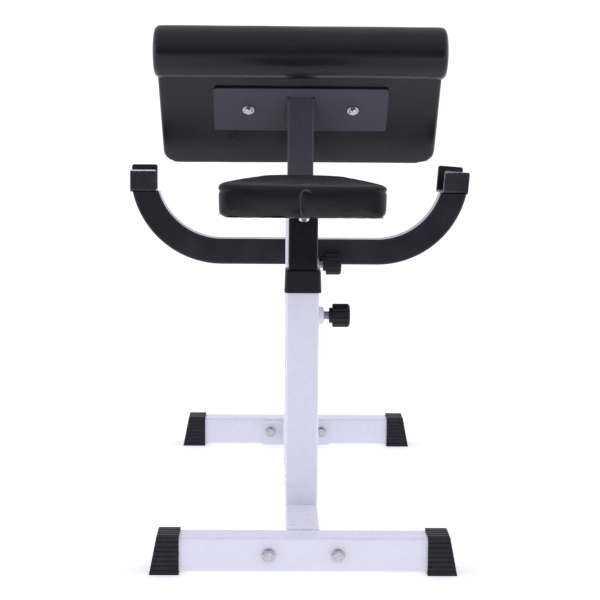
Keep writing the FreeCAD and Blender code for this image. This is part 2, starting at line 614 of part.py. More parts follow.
# ---------------------------------------------------------------- the whole bench
def main():
    os.makedirs("parts", exist_ok=True)
    make_beam()
    for name, side in (("rear", -1), ("front", 1)):
        make_joint_plate(name + "_joint_plate", side)
        make_foot(name + "_foot", side)
    make_caps()
    outer_face, plate_face = FOOT_SPACING / 2 + TUBE / 2, BEAM_HALF
    make_foot_fasteners("rear_foot", -1, -outer_face, -plate_face)
    make_foot_fasteners("front_foot", 1, outer_face, plate_face)
    make_upright("seat", SEAT_UPRIGHT_Y, SEAT_UPRIGHT_TOP, SEAT_LOCK_Z)
    make_upright("pad", PAD_UPRIGHT_Y, PAD_UPRIGHT_TOP, PAD_LOCK_Z)
    make_collar("seat_collar", SEAT_UPRIGHT_Y, SEAT_UPRIGHT_TOP)
    make_collar("pad_collar", PAD_UPRIGHT_Y, PAD_UPRIGHT_TOP)
    make_bar_holder()
    make_hooks()
    make_frame_welds()
    make_seat()
    make_pad()
    make_lock("seat", SEAT_UPRIGHT_Y, SEAT_LOCK_Z)
    make_lock("pad", PAD_UPRIGHT_Y, PAD_LOCK_Z)


main()
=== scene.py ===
"""Preacher curl bench: finishes, upholstery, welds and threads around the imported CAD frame.

Everything is in metres, +Z up. The user sits at -Y and faces +Y, and the locking knobs are at +X.
Each sub-assembly is a class that builds its own meshes and dresses its own CAD nodes.
"""

from __future__ import annotations

import json
import logging
import math
from dataclasses import dataclass, field, replace
from enum import Enum

import bmesh
import bpy
import numpy as np
from mathutils import Matrix, Vector, noise

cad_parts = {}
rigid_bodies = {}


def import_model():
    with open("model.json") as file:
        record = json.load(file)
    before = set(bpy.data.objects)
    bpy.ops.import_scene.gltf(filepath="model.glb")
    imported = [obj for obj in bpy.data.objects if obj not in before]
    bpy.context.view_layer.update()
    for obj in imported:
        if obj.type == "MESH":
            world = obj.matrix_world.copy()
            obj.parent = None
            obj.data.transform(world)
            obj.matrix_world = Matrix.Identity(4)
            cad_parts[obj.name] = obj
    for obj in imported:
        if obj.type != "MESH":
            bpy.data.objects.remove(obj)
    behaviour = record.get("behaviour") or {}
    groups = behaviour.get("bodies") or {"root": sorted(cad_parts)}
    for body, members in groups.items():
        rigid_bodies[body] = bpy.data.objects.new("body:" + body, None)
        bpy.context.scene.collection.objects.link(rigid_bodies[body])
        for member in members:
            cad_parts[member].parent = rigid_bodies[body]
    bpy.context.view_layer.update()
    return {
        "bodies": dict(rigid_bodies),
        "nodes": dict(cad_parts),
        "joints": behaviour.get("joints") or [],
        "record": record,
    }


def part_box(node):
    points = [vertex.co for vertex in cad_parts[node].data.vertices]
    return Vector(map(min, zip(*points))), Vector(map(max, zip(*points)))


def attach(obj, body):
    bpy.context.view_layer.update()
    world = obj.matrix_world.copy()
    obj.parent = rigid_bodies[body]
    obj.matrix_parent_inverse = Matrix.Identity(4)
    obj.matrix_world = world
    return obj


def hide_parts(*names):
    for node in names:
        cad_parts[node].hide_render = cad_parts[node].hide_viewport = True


LOG = logging.getLogger("curl_bench")
MM = 0.001
MERGE_WITHIN = 1e-6          # points closer than this are one point
RIPPLE_PITCH = 1.7 * MM      # how far the welder moves between two ripples of a bead
MADE: dict[str, bpy.types.Material] = {}   # finishes made so far, by name


# ---------------------------------------------------------------------------- node helpers
def linear(hex_colour: str) -> tuple[float, float, float, float]:
    """Turn an sRGB hex colour into linear RGBA.

    Args:
        hex_colour: six hex digits after a hash.

    Returns:
        The linear colour with an alpha of 1.
    """
    values = [int(hex_colour[i : i + 2], 16) / 255 for i in (1, 3, 5)]
    channels = [v / 12.92 if v <= 0.04045 else ((v + 0.055) / 1.055) ** 2.4 for v in values]
    return (*channels, 1.0)


def add_node(tree: bpy.types.NodeTree, kind: str, settings: dict | None = None,
             inputs: dict | None = None) -> bpy.types.Node:
    """Add one node with its settings, and set or link its inputs.

    Args:
        tree: the node tree to add to.
        kind: the node's type name.
        settings: attributes of the node itself.
        inputs: input name or index to a value, or to the output socket to link from.

    Returns:
        The new node.
    """
    node = tree.nodes.new(kind)
    for name, value in (settings or {}).items():
        setattr(node, name, value)
    for name, value in (inputs or {}).items():
        socket = node.inputs[name]
        if isinstance(value, bpy.types.NodeSocket):
            tree.links.new(value, socket)
        else:
            socket.default_value = value
    return node


def per_metre(size_mm: float) -> float:
    """Texture scale, in repeats per metre, of a pattern whose cells are size_mm across."""
    return 1.0 / (size_mm * MM)


# ---------------------------------------------------------------------------- finishes
@dataclass(frozen=True)
class Finish:
    """A surface finish: every kind below fills in its own shader graph.

    Args:
        name: the material's name, after how the real surface is made.
        slot: the record's material slot that it stands for; not used.
        base: main colour, sRGB.
        roughness: the shader's mean roughness.
    """

    name: str
    slot: str
    base: str
    roughness: float

    def build(self) -> bpy.types.Material:
        """Make the material, or find the one already made.

        Returns:
            The finish's material.
        """
        if self.name in MADE:
            return MADE[self.name]
        material = bpy.data.materials.new(self.name)
        material.use_nodes = True
        tree = material.node_tree
        tree.nodes.clear()
        shader = add_node(tree, "ShaderNodeBsdfPrincipled", inputs={"Roughness": self.roughness})
        add_node(tree, "ShaderNodeOutputMaterial", inputs={"Surface": shader.outputs[0]})
        shader.inputs["Base Color"].default_value = linear(self.base)
        place = add_node(tree, "ShaderNodeTexCoord").outputs["Object"]
        self.fill(tree, shader, place)
        MADE[self.name] = material
        return material

    def fill(self, tree: bpy.types.NodeTree, shader: bpy.types.Node, place: bpy.types.NodeSocket) -> None:
        """Add the finish's own pattern between the place on the piece and its shader.

        Args:
            tree: the material's node tree.
            shader: the principled shader.
            place: the Object coordinates.
        """
        raise NotImplementedError

    def rough_range(self, below: float, above: float) -> dict[str, float]:
        """Inputs of a Map Range that spreads a noise's middle over the finish's roughness."""
        return {"From Min": 0.3, "From Max": 0.7,
                "To Min": self.roughness - below, "To Max": self.roughness + above}


def plug(tree: bpy.types.NodeTree, shader: bpy.types.Node,
         outputs: dict[str, bpy.types.NodeSocket]) -> None:
    """Link outputs to the shader's inputs, by the input's name."""
    for name, output in outputs.items():
        tree.links.new(output, shader.inputs[name])


@dataclass(frozen=True)
class Patches:
    """Patches of noise in which another colour shows through a finish.

    Args:
        colour: the other colour, sRGB.
        size_mm: size of one patch.
        low: noise value at which a patch starts.
        high: noise value at which it is at its full amount.
        detail: octaves of the noise.
        roughness: weight of the finer octaves.
        drawn_out: scale of the place, below 1 where the patches are stretched.
    """

    colour: str
    size_mm: float
    low: float
    high: float
    detail: float
    roughness: float = 0.5
    drawn_out: tuple[float, float, float] = (1.0, 1.0, 1.0)

    def over(self, tree: bpy.types.NodeTree, place: bpy.types.NodeSocket, under: bpy.types.Node,
             amount: float, mask: bpy.types.Node | None = None) -> bpy.types.Node:
        """Lay the patches over a colour.

        Args:
            tree: the material's node tree.
            place: the Object coordinates.
            under: the mix that holds the colour so far.
            amount: how strongly a patch shows, from 0 to 1.
            mask: a node whose first output keeps the patches to one region.

        Returns:
            The mix with the patches laid over it.
        """
        stretched = add_node(tree, "ShaderNodeMapping", inputs={"Vector": place, "Scale": self.drawn_out})
        pattern = add_node(tree, "ShaderNodeTexNoise", inputs={
            "Vector": stretched.outputs[0], "Scale": per_metre(self.size_mm), "Detail": self.detail,
            "Roughness": self.roughness})
        where = add_node(tree, "ShaderNodeMapRange", inputs={
            "Value": pattern.outputs["Fac"], "From Min": self.low, "From Max": self.high, "To Max": amount})
        if mask:
            where = add_node(tree, "ShaderNodeMath", {"operation": "MULTIPLY"}, {
                0: mask.outputs[0], 1: where.outputs[0]})
        return add_node(tree, "ShaderNodeMix", {"data_type": "RGBA"}, {
            0: where.outputs[0], 6: under.outputs[2], 7: linear(self.colour)})


WORN_STEEL_AND_HIGHLIGHT = Patches("#d6d6d8", 7, 0.42, 0.56, 4.0)                       # edges worn to bright steel, also a painted highlight along them
PALE_DUST = Patches("#8f8f97", 2.6, 0.66, 0.74, 2.0, 0.7)                   # specks in the film
SLIDE_MARKS = Patches("#8a8a92", 2.2, 0.56, 0.72, 3.0, drawn_out=(1.0, 1.0, 0.035))   # along the post
RUBBED_RIM_AND_HIGHLIGHT = "#e4e4e6"                                                      # bare steel of a worn rim, also a painted highlight along it


@dataclass(frozen=True)
class PowderCoat(Finish):
    """Baked powder paint on steel: an even colour with a fine orange-peel surface.

    Long soft waves in the film make reflections wobble, specks of dust break the colour, and the
    edges are painted paler, for the thin film there and as a painted highlight along them.

    Args:
        shade: colour of the faint cloudiness in the film.
        edge: colour over the edges of the plates, paler for the thin film there and as a painted highlight.
        peel_mm: width of one orange-peel cell, drawn coarser than the real 1 mm so that it shows.
        peel_depth_mm: depth of the cells.
        specks: share of the surface with pale dust specks.
        scuffs: strength of the long scratches that a sliding part gets.
        rim: height, far side and strength of a rim worn to bare steel and lit with a painted highlight, or
            None.
        wear_and_highlight: how much of an edge is painted bright, as metal worn bare and as a painted
            highlight.
        specular: the shader's specular level.
        cloud_mm: size of the cloudiness.
        film_mm: how far from an edge the film is thin and the painted highlight reaches.
    """

    shade: str
    edge: str
    peel_mm: float = 3.0
    peel_depth_mm: float = 0.05
    specks: float = 0.0
    scuffs: float = 0.0
    rim: tuple[float, float, float] | None = None
    wear_and_highlight: float = 0.0
    specular: float = 0.5
    cloud_mm: float = 90.0
    film_mm: float = 0.9

    def fill(self, tree: bpy.types.NodeTree, shader: bpy.types.Node, place: bpy.types.NodeSocket) -> None:
        """Cloudy colour, paler edges for the thin film and a painted highlight, specks and scratches, and
        the orange-peel relief.

        Args:
            tree: the material's node tree.
            shader: the principled shader.
            place: the Object coordinates.
        """
        shader.inputs["Specular IOR Level"].default_value = self.specular
        cloud = add_node(tree, "ShaderNodeTexNoise", inputs={
            "Vector": place, "Scale": per_metre(self.cloud_mm), "Detail": 3.0, "Roughness": 0.55})
        cloud_range = add_node(tree, "ShaderNodeMapRange", inputs={
            "Value": cloud.outputs["Fac"], "From Min": 0.35, "From Max": 0.7})
        colour = add_node(tree, "ShaderNodeMix", {"data_type": "RGBA"}, {
            0: cloud_range.outputs[0], 6: linear(self.base), 7: linear(self.shade)})
        soft = add_node(tree, "ShaderNodeBevel", {"samples": 4}, {"Radius": self.film_mm * MM})
        flat = add_node(tree, "ShaderNodeNewGeometry")
        facing = add_node(tree, "ShaderNodeVectorMath", {"operation": "DOT_PRODUCT"}, {
            0: soft.outputs[0], 1: flat.outputs["Normal"]})
        edge_mask = add_node(tree, "ShaderNodeMapRange", inputs={
            "Value": facing.outputs["Value"], "From Min": 0.97, "From Max": 0.86})
        # painted highlight: the edges are painted paler, also for the thin film over them
        colour = add_node(tree, "ShaderNodeMix", {"data_type": "RGBA"}, {
            0: edge_mask.outputs[0], 6: colour.outputs[2], 7: linear(self.edge)})
        # bright edges: steel worn bare, and a painted highlight
        if self.wear_and_highlight:
            colour = WORN_STEEL_AND_HIGHLIGHT.over(tree, place, colour, self.wear_and_highlight, mask=edge_mask)
        # bright rim: bare steel, and a painted highlight
        if self.rim:
            colour = self.rub_and_highlight_rim(tree, place, colour)
        rough_noise = add_node(tree, "ShaderNodeTexNoise", inputs={
            "Vector": place, "Scale": per_metre(35), "Detail": 4.0})
        rough = add_node(tree, "ShaderNodeMapRange", inputs={
            "Value": rough_noise.outputs["Fac"], **self.rough_range(0.05, 0.06)})
        if self.specks:
            colour = PALE_DUST.over(tree, place, colour, self.specks)
        if self.scuffs:
            colour = SLIDE_MARKS.over(tree, place, colour, self.scuffs)
        peel = add_node(tree, "ShaderNodeTexNoise", inputs={
            "Vector": place, "Scale": per_metre(self.peel_mm), "Detail": 1.5})
        relief = add_node(tree, "ShaderNodeBump", inputs={
            "Strength": 0.5, "Distance": self.peel_depth_mm * MM, "Height": peel.outputs["Fac"],
            "Normal": soft.outputs[0]})
        plug(tree, shader, {"Base Color": colour.outputs[2], "Roughness": rough.outputs[0],
                            "Normal": relief.outputs[0]})

    def rub_and_highlight_rim(self, tree: bpy.types.NodeTree, place: bpy.types.NodeSocket,
                colour: bpy.types.Node) -> bpy.types.Node:
        """Bare steel along an edge that the bar is dropped over.

        Args:
            tree: the material's node tree.
            place: the Object coordinates.
            colour: the mix that holds the colour so far.

        Returns:
            The mix with the worn rim and its painted highlight laid over it.
        """
        height, far_side, amount = self.rim
        ragged_mm, ragged_depth, fade_from, fade_to = 9, 3.2 * MM, 0.9 * MM, 0.2 * MM
        parts = add_node(tree, "ShaderNodeSeparateXYZ", inputs={0: place})
        ragged = add_node(tree, "ShaderNodeTexNoise", inputs={
            "Vector": place, "Scale": per_metre(ragged_mm), "Detail": 4.0, "Roughness": 0.7})
        level = add_node(tree, "ShaderNodeMath", {"operation": "MULTIPLY_ADD"}, {
            0: ragged.outputs["Fac"], 1: ragged_depth, 2: parts.outputs["Z"]})
        top = add_node(tree, "ShaderNodeMapRange", inputs={
            "Value": level.outputs[0], "From Min": height - fade_from, "From Max": height - fade_to,
            "To Max": amount})
        near = add_node(tree, "ShaderNodeMath", {"operation": "LESS_THAN"}, {
            0: parts.outputs["Y"], 1: far_side})
        where = add_node(tree, "ShaderNodeMath", {"operation": "MULTIPLY"}, {
            0: top.outputs[0], 1: near.outputs[0]})
        return add_node(tree, "ShaderNodeMix", {"data_type": "RGBA"}, {
            0: where.outputs[0], 6: colour.outputs[2], 7: linear(RUBBED_RIM_AND_HIGHLIGHT)})


@dataclass(frozen=True)
class Vinyl(Finish):
    """Upholstery vinyl: PVC film on cloth, embossed with a pebbled leather grain.

    The pebbles scatter the gloss, the valleys between them are duller and painted darker as
    shade, and the film has a soft satin sheen where it is stretched.

    Args:
        valley_shade: painted shade colour between the pebbles.
        pebble_mm: width of one pebble. Real grain is about 1 mm, too fine to show at arm's
            length, so it is drawn coarser.
        pebble_depth_mm: height of the pebbles.
        crease_mm: width of the fine creases between them.
        patch_mm: size of the patches that are duller or glossier.
        specular: the shader's specular level.
    """

    valley_shade: str
    pebble_mm: float = 2.2
    pebble_depth_mm: float = 0.16
    crease_mm: float = 0.9
    patch_mm: float = 70.0
    specular: float = 0.38

    def fill(self, tree: bpy.types.NodeTree, shader: bpy.types.Node, place: bpy.types.NodeSocket) -> None:
        """Pebble cells, finer creases and slow changes of gloss.

        Args:
            tree: the material's node tree.
            shader: the principled shader.
            place: the Object coordinates.
        """
        shader.inputs["Specular IOR Level"].default_value = self.specular
        wander = add_node(tree, "ShaderNodeTexNoise", inputs={
            "Vector": place, "Scale": per_metre(6), "Detail": 2.0})
        bent = add_node(tree, "ShaderNodeMix", {"data_type": "VECTOR"}, {
            0: 0.0016, 4: place, 5: wander.outputs["Color"]})
        cells = add_node(tree, "ShaderNodeTexVoronoi", {"feature": "SMOOTH_F1"}, {
            "Vector": bent.outputs[1], "Scale": per_metre(self.pebble_mm), "Smoothness": 0.6})
        height = add_node(tree, "ShaderNodeMapRange", inputs={
            "Value": cells.outputs["Distance"], "From Min": 0.1, "From Max": 0.75,
            "To Min": 1.0, "To Max": 0.0})
        creases = add_node(tree, "ShaderNodeTexNoise", inputs={
            "Vector": place, "Scale": per_metre(self.crease_mm), "Detail": 3.0})
        relief = add_node(tree, "ShaderNodeMath", {"operation": "MULTIPLY_ADD"}, {
            0: creases.outputs["Fac"], 1: 0.25, 2: height.outputs[0]})
        bump = add_node(tree, "ShaderNodeBump", inputs={
            "Strength": 0.55, "Distance": self.pebble_depth_mm * MM, "Height": relief.outputs[0]})
        patches = add_node(tree, "ShaderNodeTexNoise", inputs={
            "Vector": place, "Scale": per_metre(self.patch_mm), "Detail": 4.0, "Roughness": 0.6})
        worn = add_node(tree, "ShaderNodeMath", {"operation": "MULTIPLY_ADD"}, {
            0: height.outputs[0], 1: -0.08, 2: patches.outputs["Fac"]})
        rough = add_node(tree, "ShaderNodeMapRange", inputs={
            "Value": worn.outputs[0], **self.rough_range(0.07, 0.08), "From Min": 0.25})
        # painted shade: darker colour in the valleys between the pebbles
        colour = add_node(tree, "ShaderNodeMix", {"data_type": "RGBA"}, {
            0: height.outputs[0], 6: linear(self.valley_shade), 7: linear(self.base)})
        plug(tree, shader, {"Base Color": colour.outputs[2], "Roughness": rough.outputs[0],
                            "Normal": bump.outputs[0]})


@dataclass(frozen=True)
class SpunCloth(Finish):
    """Spun-bonded dust cloth: matt fibres pressed flat, with a grid of small heat-bonded dots.

    Args:
        fibre: colour of the raised fibres, which are drawn coarser than real so that they show.
        dot_mm: spacing of the bonded dots.
        fibre_mm: width of one fibre.
    """

    fibre: str
    dot_mm: float = 3.0
    fibre_mm: float = 0.8

    def fill(self, tree: bpy.types.NodeTree, shader: bpy.types.Node, place: bpy.types.NodeSocket) -> None:
        """Stretched fibre noise in two directions and the bonded dots.

        Args:
            tree: the material's node tree.
            shader: the principled shader.
            place: the Object coordinates.
        """
        shader.inputs["Sheen Weight"].default_value = 0.25
        dots = add_node(tree, "ShaderNodeTexVoronoi", {"feature": "F1"}, {
            "Vector": place, "Scale": per_metre(self.dot_mm), "Randomness": 0.1})
        dent = add_node(tree, "ShaderNodeMapRange", inputs={
            "Value": dots.outputs["Distance"], "From Min": 0.15, "From Max": 0.35})
        along = add_node(tree, "ShaderNodeMapping", inputs={"Vector": place, "Scale": (1.0, 0.12, 1.0)})
        fibres = add_node(tree, "ShaderNodeTexNoise", inputs={
            "Vector": along.outputs[0], "Scale": per_metre(self.fibre_mm), "Detail": 5.0})
        height = add_node(tree, "ShaderNodeMath", {"operation": "MULTIPLY"}, {
            0: fibres.outputs["Fac"], 1: dent.outputs[0]})
        bump = add_node(tree, "ShaderNodeBump", inputs={
            "Strength": 0.7, "Distance": 0.15 * MM, "Height": height.outputs[0]})
        colour = add_node(tree, "ShaderNodeMix", {"data_type": "RGBA"}, {
            0: height.outputs[0], 6: linear(self.base), 7: linear(self.fibre)})
        plug(tree, shader, {"Base Color": colour.outputs[2], "Normal": bump.outputs[0]})


@dataclass(frozen=True)
class MouldedPlastic(Finish):
    """Injection-moulded plastic or rubber from a spark-textured tool: dark and finely pitted.

    Args:
        dust: colour of the handling dust that sits in the texture.
        pit_mm: width of one pit, drawn coarser than the real 0.2 mm so that it shows.
        pit_depth_mm: depth of the pits.
        dusty: how much dust shows, from 0 to 1.
        patch_mm: size of the dusty patches.
        edge_mm: radius of the moulded edges.
        specular: the shader's specular level.
    """

    dust: str
    pit_mm: float = 1.6
    pit_depth_mm: float = 0.06
    dusty: float = 0.15
    patch_mm: float = 14.0
    edge_mm: float = 0.7
    specular: float = 0.35

    def fill(self, tree: bpy.types.NodeTree, shader: bpy.types.Node, place: bpy.types.NodeSocket) -> None:
        """Pitted relief, softened edges and a little dust in patches.

        Args:
            tree: the material's node tree.
            shader: the principled shader.
            place: the Object coordinates.
        """
        shader.inputs["Specular IOR Level"].default_value = self.specular
        soft = add_node(tree, "ShaderNodeBevel", {"samples": 4}, {"Radius": self.edge_mm * MM})
        pits = add_node(tree, "ShaderNodeTexNoise", inputs={
            "Vector": place, "Scale": per_metre(self.pit_mm), "Detail": 3.0, "Roughness": 0.65})
        bump = add_node(tree, "ShaderNodeBump", inputs={
            "Strength": 0.6, "Distance": self.pit_depth_mm * MM, "Height": pits.outputs["Fac"],
            "Normal": soft.outputs[0]})
        patches = add_node(tree, "ShaderNodeTexNoise", inputs={
            "Vector": place, "Scale": per_metre(self.patch_mm), "Detail": 6.0, "Roughness": 0.7})
        where = add_node(tree, "ShaderNodeMapRange", inputs={
            "Value": patches.outputs["Fac"], "From Min": 0.45, "From Max": 0.8, "To Max": self.dusty})
        colour = add_node(tree, "ShaderNodeMix", {"data_type": "RGBA"}, {
            0: where.outputs[0], 6: linear(self.base), 7: linear(self.dust)})
        rough = add_node(tree, "ShaderNodeMapRange", inputs={
            "Value": patches.outputs["Fac"], **self.rough_range(0.06, 0.08)})
        plug(tree, shader, {"Base Color": colour.outputs[2], "Roughness": rough.outputs[0],
                            "Normal": bump.outputs[0]})


@dataclass(frozen=True)
class ZincPlate(Finish):
    """Bright zinc plate on a steel fastener: silvery, faintly blue and gold, with a fine haze.

    Args:
        tint: the passivation's second tone.
        film_mm: size of the patches of each tone.
        haze_mm: grain of the haze.
        edge_mm: radius of the edges.
    """

    tint: str
    film_mm: float = 3.0
    haze_mm: float = 1.1
    edge_mm: float = 0.35

    def fill(self, tree: bpy.types.NodeTree, shader: bpy.types.Node, place: bpy.types.NodeSocket) -> None:
        """Two-tone passivation, haze and fine handling scratches.

        Args:
            tree: the material's node tree.
            shader: the principled shader.
            place: the Object coordinates.
        """
        shader.inputs["Metallic"].default_value = 1.0
        soft = add_node(tree, "ShaderNodeBevel", {"samples": 4}, {"Radius": self.edge_mm * MM})
        film = add_node(tree, "ShaderNodeTexNoise", inputs={
            "Vector": place, "Scale": per_metre(self.film_mm), "Detail": 2.0})
        colour = add_node(tree, "ShaderNodeMix", {"data_type": "RGBA"}, {
            0: film.outputs["Fac"], 6: linear(self.base), 7: linear(self.tint)})
        haze = add_node(tree, "ShaderNodeTexNoise", inputs={
            "Vector": place, "Scale": per_metre(self.haze_mm), "Detail": 4.0})
        rough = add_node(tree, "ShaderNodeMapRange", inputs={
            "Value": haze.outputs["Fac"], **self.rough_range(0.07, 0.12)})
        bump = add_node(tree, "ShaderNodeBump", inputs={
            "Strength": 0.25, "Distance": 0.04 * MM, "Height": haze.outputs["Fac"],
            "Normal": soft.outputs[0]})
        plug(tree, shader, {"Base Color": colour.outputs[2], "Roughness": rough.outputs[0],
                            "Normal": bump.outputs[0]})


@dataclass(frozen=True)
class Plywood(Finish):
    """Rotary-cut plywood: broad figure on the faces and dark glue lines between the plies.

    Args:
        grain: colour of the darker figure.
        ply_mm: thickness of one ply.
        figure_mm: width of the figure.
    """

    grain: str
    ply_mm: float = 2.4
    figure_mm: float = 9.0

    def fill(self, tree: bpy.types.NodeTree, shader: bpy.types.Node, place: bpy.types.NodeSocket) -> None:
        """Long figure along X, and plies stacked through the thickness.

        Args:
            tree: the material's node tree.
            shader: the principled shader.
            place: the Object coordinates.
        """
        long_grain = add_node(tree, "ShaderNodeMapping", inputs={
            "Vector": place, "Scale": (0.08, 1.0, 1.0)})
        figure = add_node(tree, "ShaderNodeTexNoise", inputs={
            "Vector": long_grain.outputs[0], "Scale": per_metre(self.figure_mm), "Detail": 6.0,
            "Distortion": 0.6})
        plies = add_node(tree, "ShaderNodeTexWave", {"bands_direction": "Z"}, {
            "Vector": place, "Scale": per_metre(self.ply_mm) / 20, "Distortion": 0.4})
        mixed = add_node(tree, "ShaderNodeMath", {"operation": "MULTIPLY"}, {
            0: figure.outputs["Fac"], 1: plies.outputs["Fac"]})
        colour = add_node(tree, "ShaderNodeMix", {"data_type": "RGBA"}, {
            0: mixed.outputs[0], 6: linear(self.base), 7: linear(self.grain)})
        bump = add_node(tree, "ShaderNodeBump", inputs={
            "Strength": 0.4, "Distance": 0.1 * MM, "Height": figure.outputs["Fac"]})
        plug(tree, shader, {"Base Color": colour.outputs[2], "Normal": bump.outputs[0]})


@dataclass(frozen=True)
class StudioFloor(Finish):
    """Opal light-table floor: pale, matt, lit faintly from below so that shadows stay soft.

    Args:
        glow: light from below.
    """

    glow: float = 0.40

    def fill(self, tree: bpy.types.NodeTree, shader: bpy.types.Node, place: bpy.types.NodeSocket) -> None:
        """A slow mottle in the paint.

        Args:
            tree: the material's node tree.
            shader: the principled shader.
            place: the Object coordinates.
        """
        shader.inputs["Specular IOR Level"].default_value = 0.1
        shader.inputs["Emission Color"].default_value = linear(self.base)
        shader.inputs["Emission Strength"].default_value = self.glow
        mottle = add_node(tree, "ShaderNodeTexNoise", inputs={"Vector": place, "Scale": 2.0, "Detail": 2.0})
        colour = add_node(tree, "ShaderNodeMix", {"data_type": "RGBA"}, {
            0: mottle.outputs["Fac"], 6: linear(self.base), 7: linear("#fdfdfd")})
        plug(tree, shader, {"Base Color": colour.outputs[2]})


WHITE_PAINT = PowderCoat("baked_white_powder_coat", "white_powder_coat", "#eff1f6", 0.27,
                         shade="#edeff5", edge="#f8f9fd", peel_depth_mm=0.006,
                         specular=0.35)
BLACK_PAINT = PowderCoat("baked_black_powder_coat", "black_powder_coat", "#25232a", 0.15,
                         shade="#2a282f", edge="#47454e", specks=0.15, specular=0.34)
# the hooks' paint: edges worn to bare steel and lit with a painted highlight
HOOK_PAINT = PowderCoat("worn_and_highlit_black_powder_coat", "black_powder_coat", "#1c1b21", 0.30,
                        shade="#212026", edge="#3a3941", specks=0.2, wear_and_highlight=1.0)
PLATE_PAINT = PowderCoat("satin_black_powder_coat", "black_powder_coat", "#33323b", 0.42,
                         shade="#383741", edge="#4a4953", specks=0.15)
SEAT_POST_PAINT = PowderCoat("gloss_black_powder_coat", "black_powder_coat", "#0e0d11", 0.22,
                             shade="#111014", edge="#2a2930", scuffs=0.03, specular=0.3)
PAD_POST_PAINT = PowderCoat("scuffed_black_powder_coat", "black_powder_coat", "#39373f", 0.42,
                            shade="#3f3d45", edge="#5c5a63", specks=0.4, scuffs=0.04)
BLACK_VINYL = Vinyl("black_leathergrain_vinyl", "black_vinyl", "#0c090b", 0.32, valley_shade="#070507")
PAINTED_FOLD_HIGHLIGHT_VINYL = replace(BLACK_VINYL, name="black_vinyl_painted_fold_highlight", base="#474349", valley_shade="#38353a",
                        roughness=0.27)   # painted highlight along the fold: a paler, glossier copy of the vinyl
BACKING_CLOTH = SpunCloth("black_spunbonded_cloth", "backing_cloth", "#131316", 0.95, fibre="#2b2b30")
PLYWOOD = Plywood("birch_plywood", "plywood", "#c7a57a", 0.7, grain="#9a774b")
BLACK_PLASTIC = MouldedPlastic("black_moulded_polyamide", "black_plastic", "#0f0e11", 0.38, dust="#45434a",
                               dusty=0.08)
CAP_RUBBER = MouldedPlastic("black_moulded_rubber", "cap_rubber", "#131216", 0.48, dust="#55535a",
                            pit_depth_mm=0.09, dusty=0.2)
BRIGHT_ZINC = ZincPlate("bright_zinc_plate", "bright_zinc", "#dededa", 0.18, tint="#97989c")
FLOOR_PAINT = StudioFloor("studio_floor_paint", "", "#f7f7f8", 0.8)


# ---------------------------------------------------------------------------- mesh helpers
class Body(Enum):
    """The CAD bodies that pieces ride on."""

    FRAME = "frame"
    SEAT = "seat"
    PAD = "pad"
    SEAT_STUD = "seat_lock_stud"
    PAD_STUD = "pad_lock_stud"


def mesh_object(name: str, vertices: list, faces: list, finish: Finish) -> bpy.types.Object:
    """Make a linked mesh object at the origin with one finish.

    Args:
        name: the piece's name.
        vertices: points in metres.
        faces: vertex indices of each face.
        finish: the surface finish.

    Returns:
        The new object.
    """
    mesh = bpy.data.meshes.new(name)
    mesh.from_pydata([tuple(v) for v in vertices], [], faces)
    mesh.materials.append(finish.build())
    piece = bpy.data.objects.new(name, mesh)
    bpy.context.scene.collection.objects.link(piece)
    return piece


def tidy_normals(piece: bpy.types.Object) -> None:
    """Merge doubled points and turn every face outwards.

    Args:
        piece: the piece, changed in place.
    """
    work = bmesh.new()
    work.from_mesh(piece.data)
    bmesh.ops.remove_doubles(work, verts=work.verts, dist=MERGE_WITHIN)
    bmesh.ops.recalc_face_normals(work, faces=work.faces)
    work.to_mesh(piece.data)
    work.free()


def bake_modifiers(piece: bpy.types.Object) -> None:
    """Replace a piece's mesh by its evaluated one and drop its modifiers.

    Args:
        piece: the piece, changed in place.
    """
    graph = bpy.context.evaluated_depsgraph_get()
    baked = bpy.data.meshes.new_from_object(piece.evaluated_get(graph))
    piece.modifiers.clear()
    piece.data = baked
    baked.name = piece.name


def points_of(piece: bpy.types.Object) -> np.ndarray:
    """Read the piece's points.

    Args:
        piece: the piece.

    Returns:
        An N by 3 array.
    """
    flat = np.empty(len(piece.data.vertices) * 3)
    piece.data.vertices.foreach_get("co", flat)
    return flat.reshape(-1, 3)


def set_points(piece: bpy.types.Object, points: np.ndarray) -> None:
    """Put new places into the piece's points."""
    piece.data.vertices.foreach_set("co", points.astype(np.float32).ravel())
    piece.data.update()


def shade_smooth(piece: bpy.types.Object) -> None:
    """Shade all faces smooth."""
    piece.data.polygons.foreach_set("use_smooth", [True] * len(piece.data.polygons))


def finish_piece(piece: bpy.types.Object, body: Body, finish: Finish, *replaced: str) -> bpy.types.Object:
    """Hand a finished piece to the frame: its body and the nodes that it stands for.

    Args:
        piece: the piece.
        body: the body that it rides on.
        finish: not used.
        replaced: CAD nodes that it stands for.

    Returns:
        The same piece.
    """
    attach(piece, body.value)
    if replaced:
        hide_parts(*replaced)
    LOG.info("%s: %d faces on %s", piece.name, len(piece.data.polygons), body.value)
    return piece


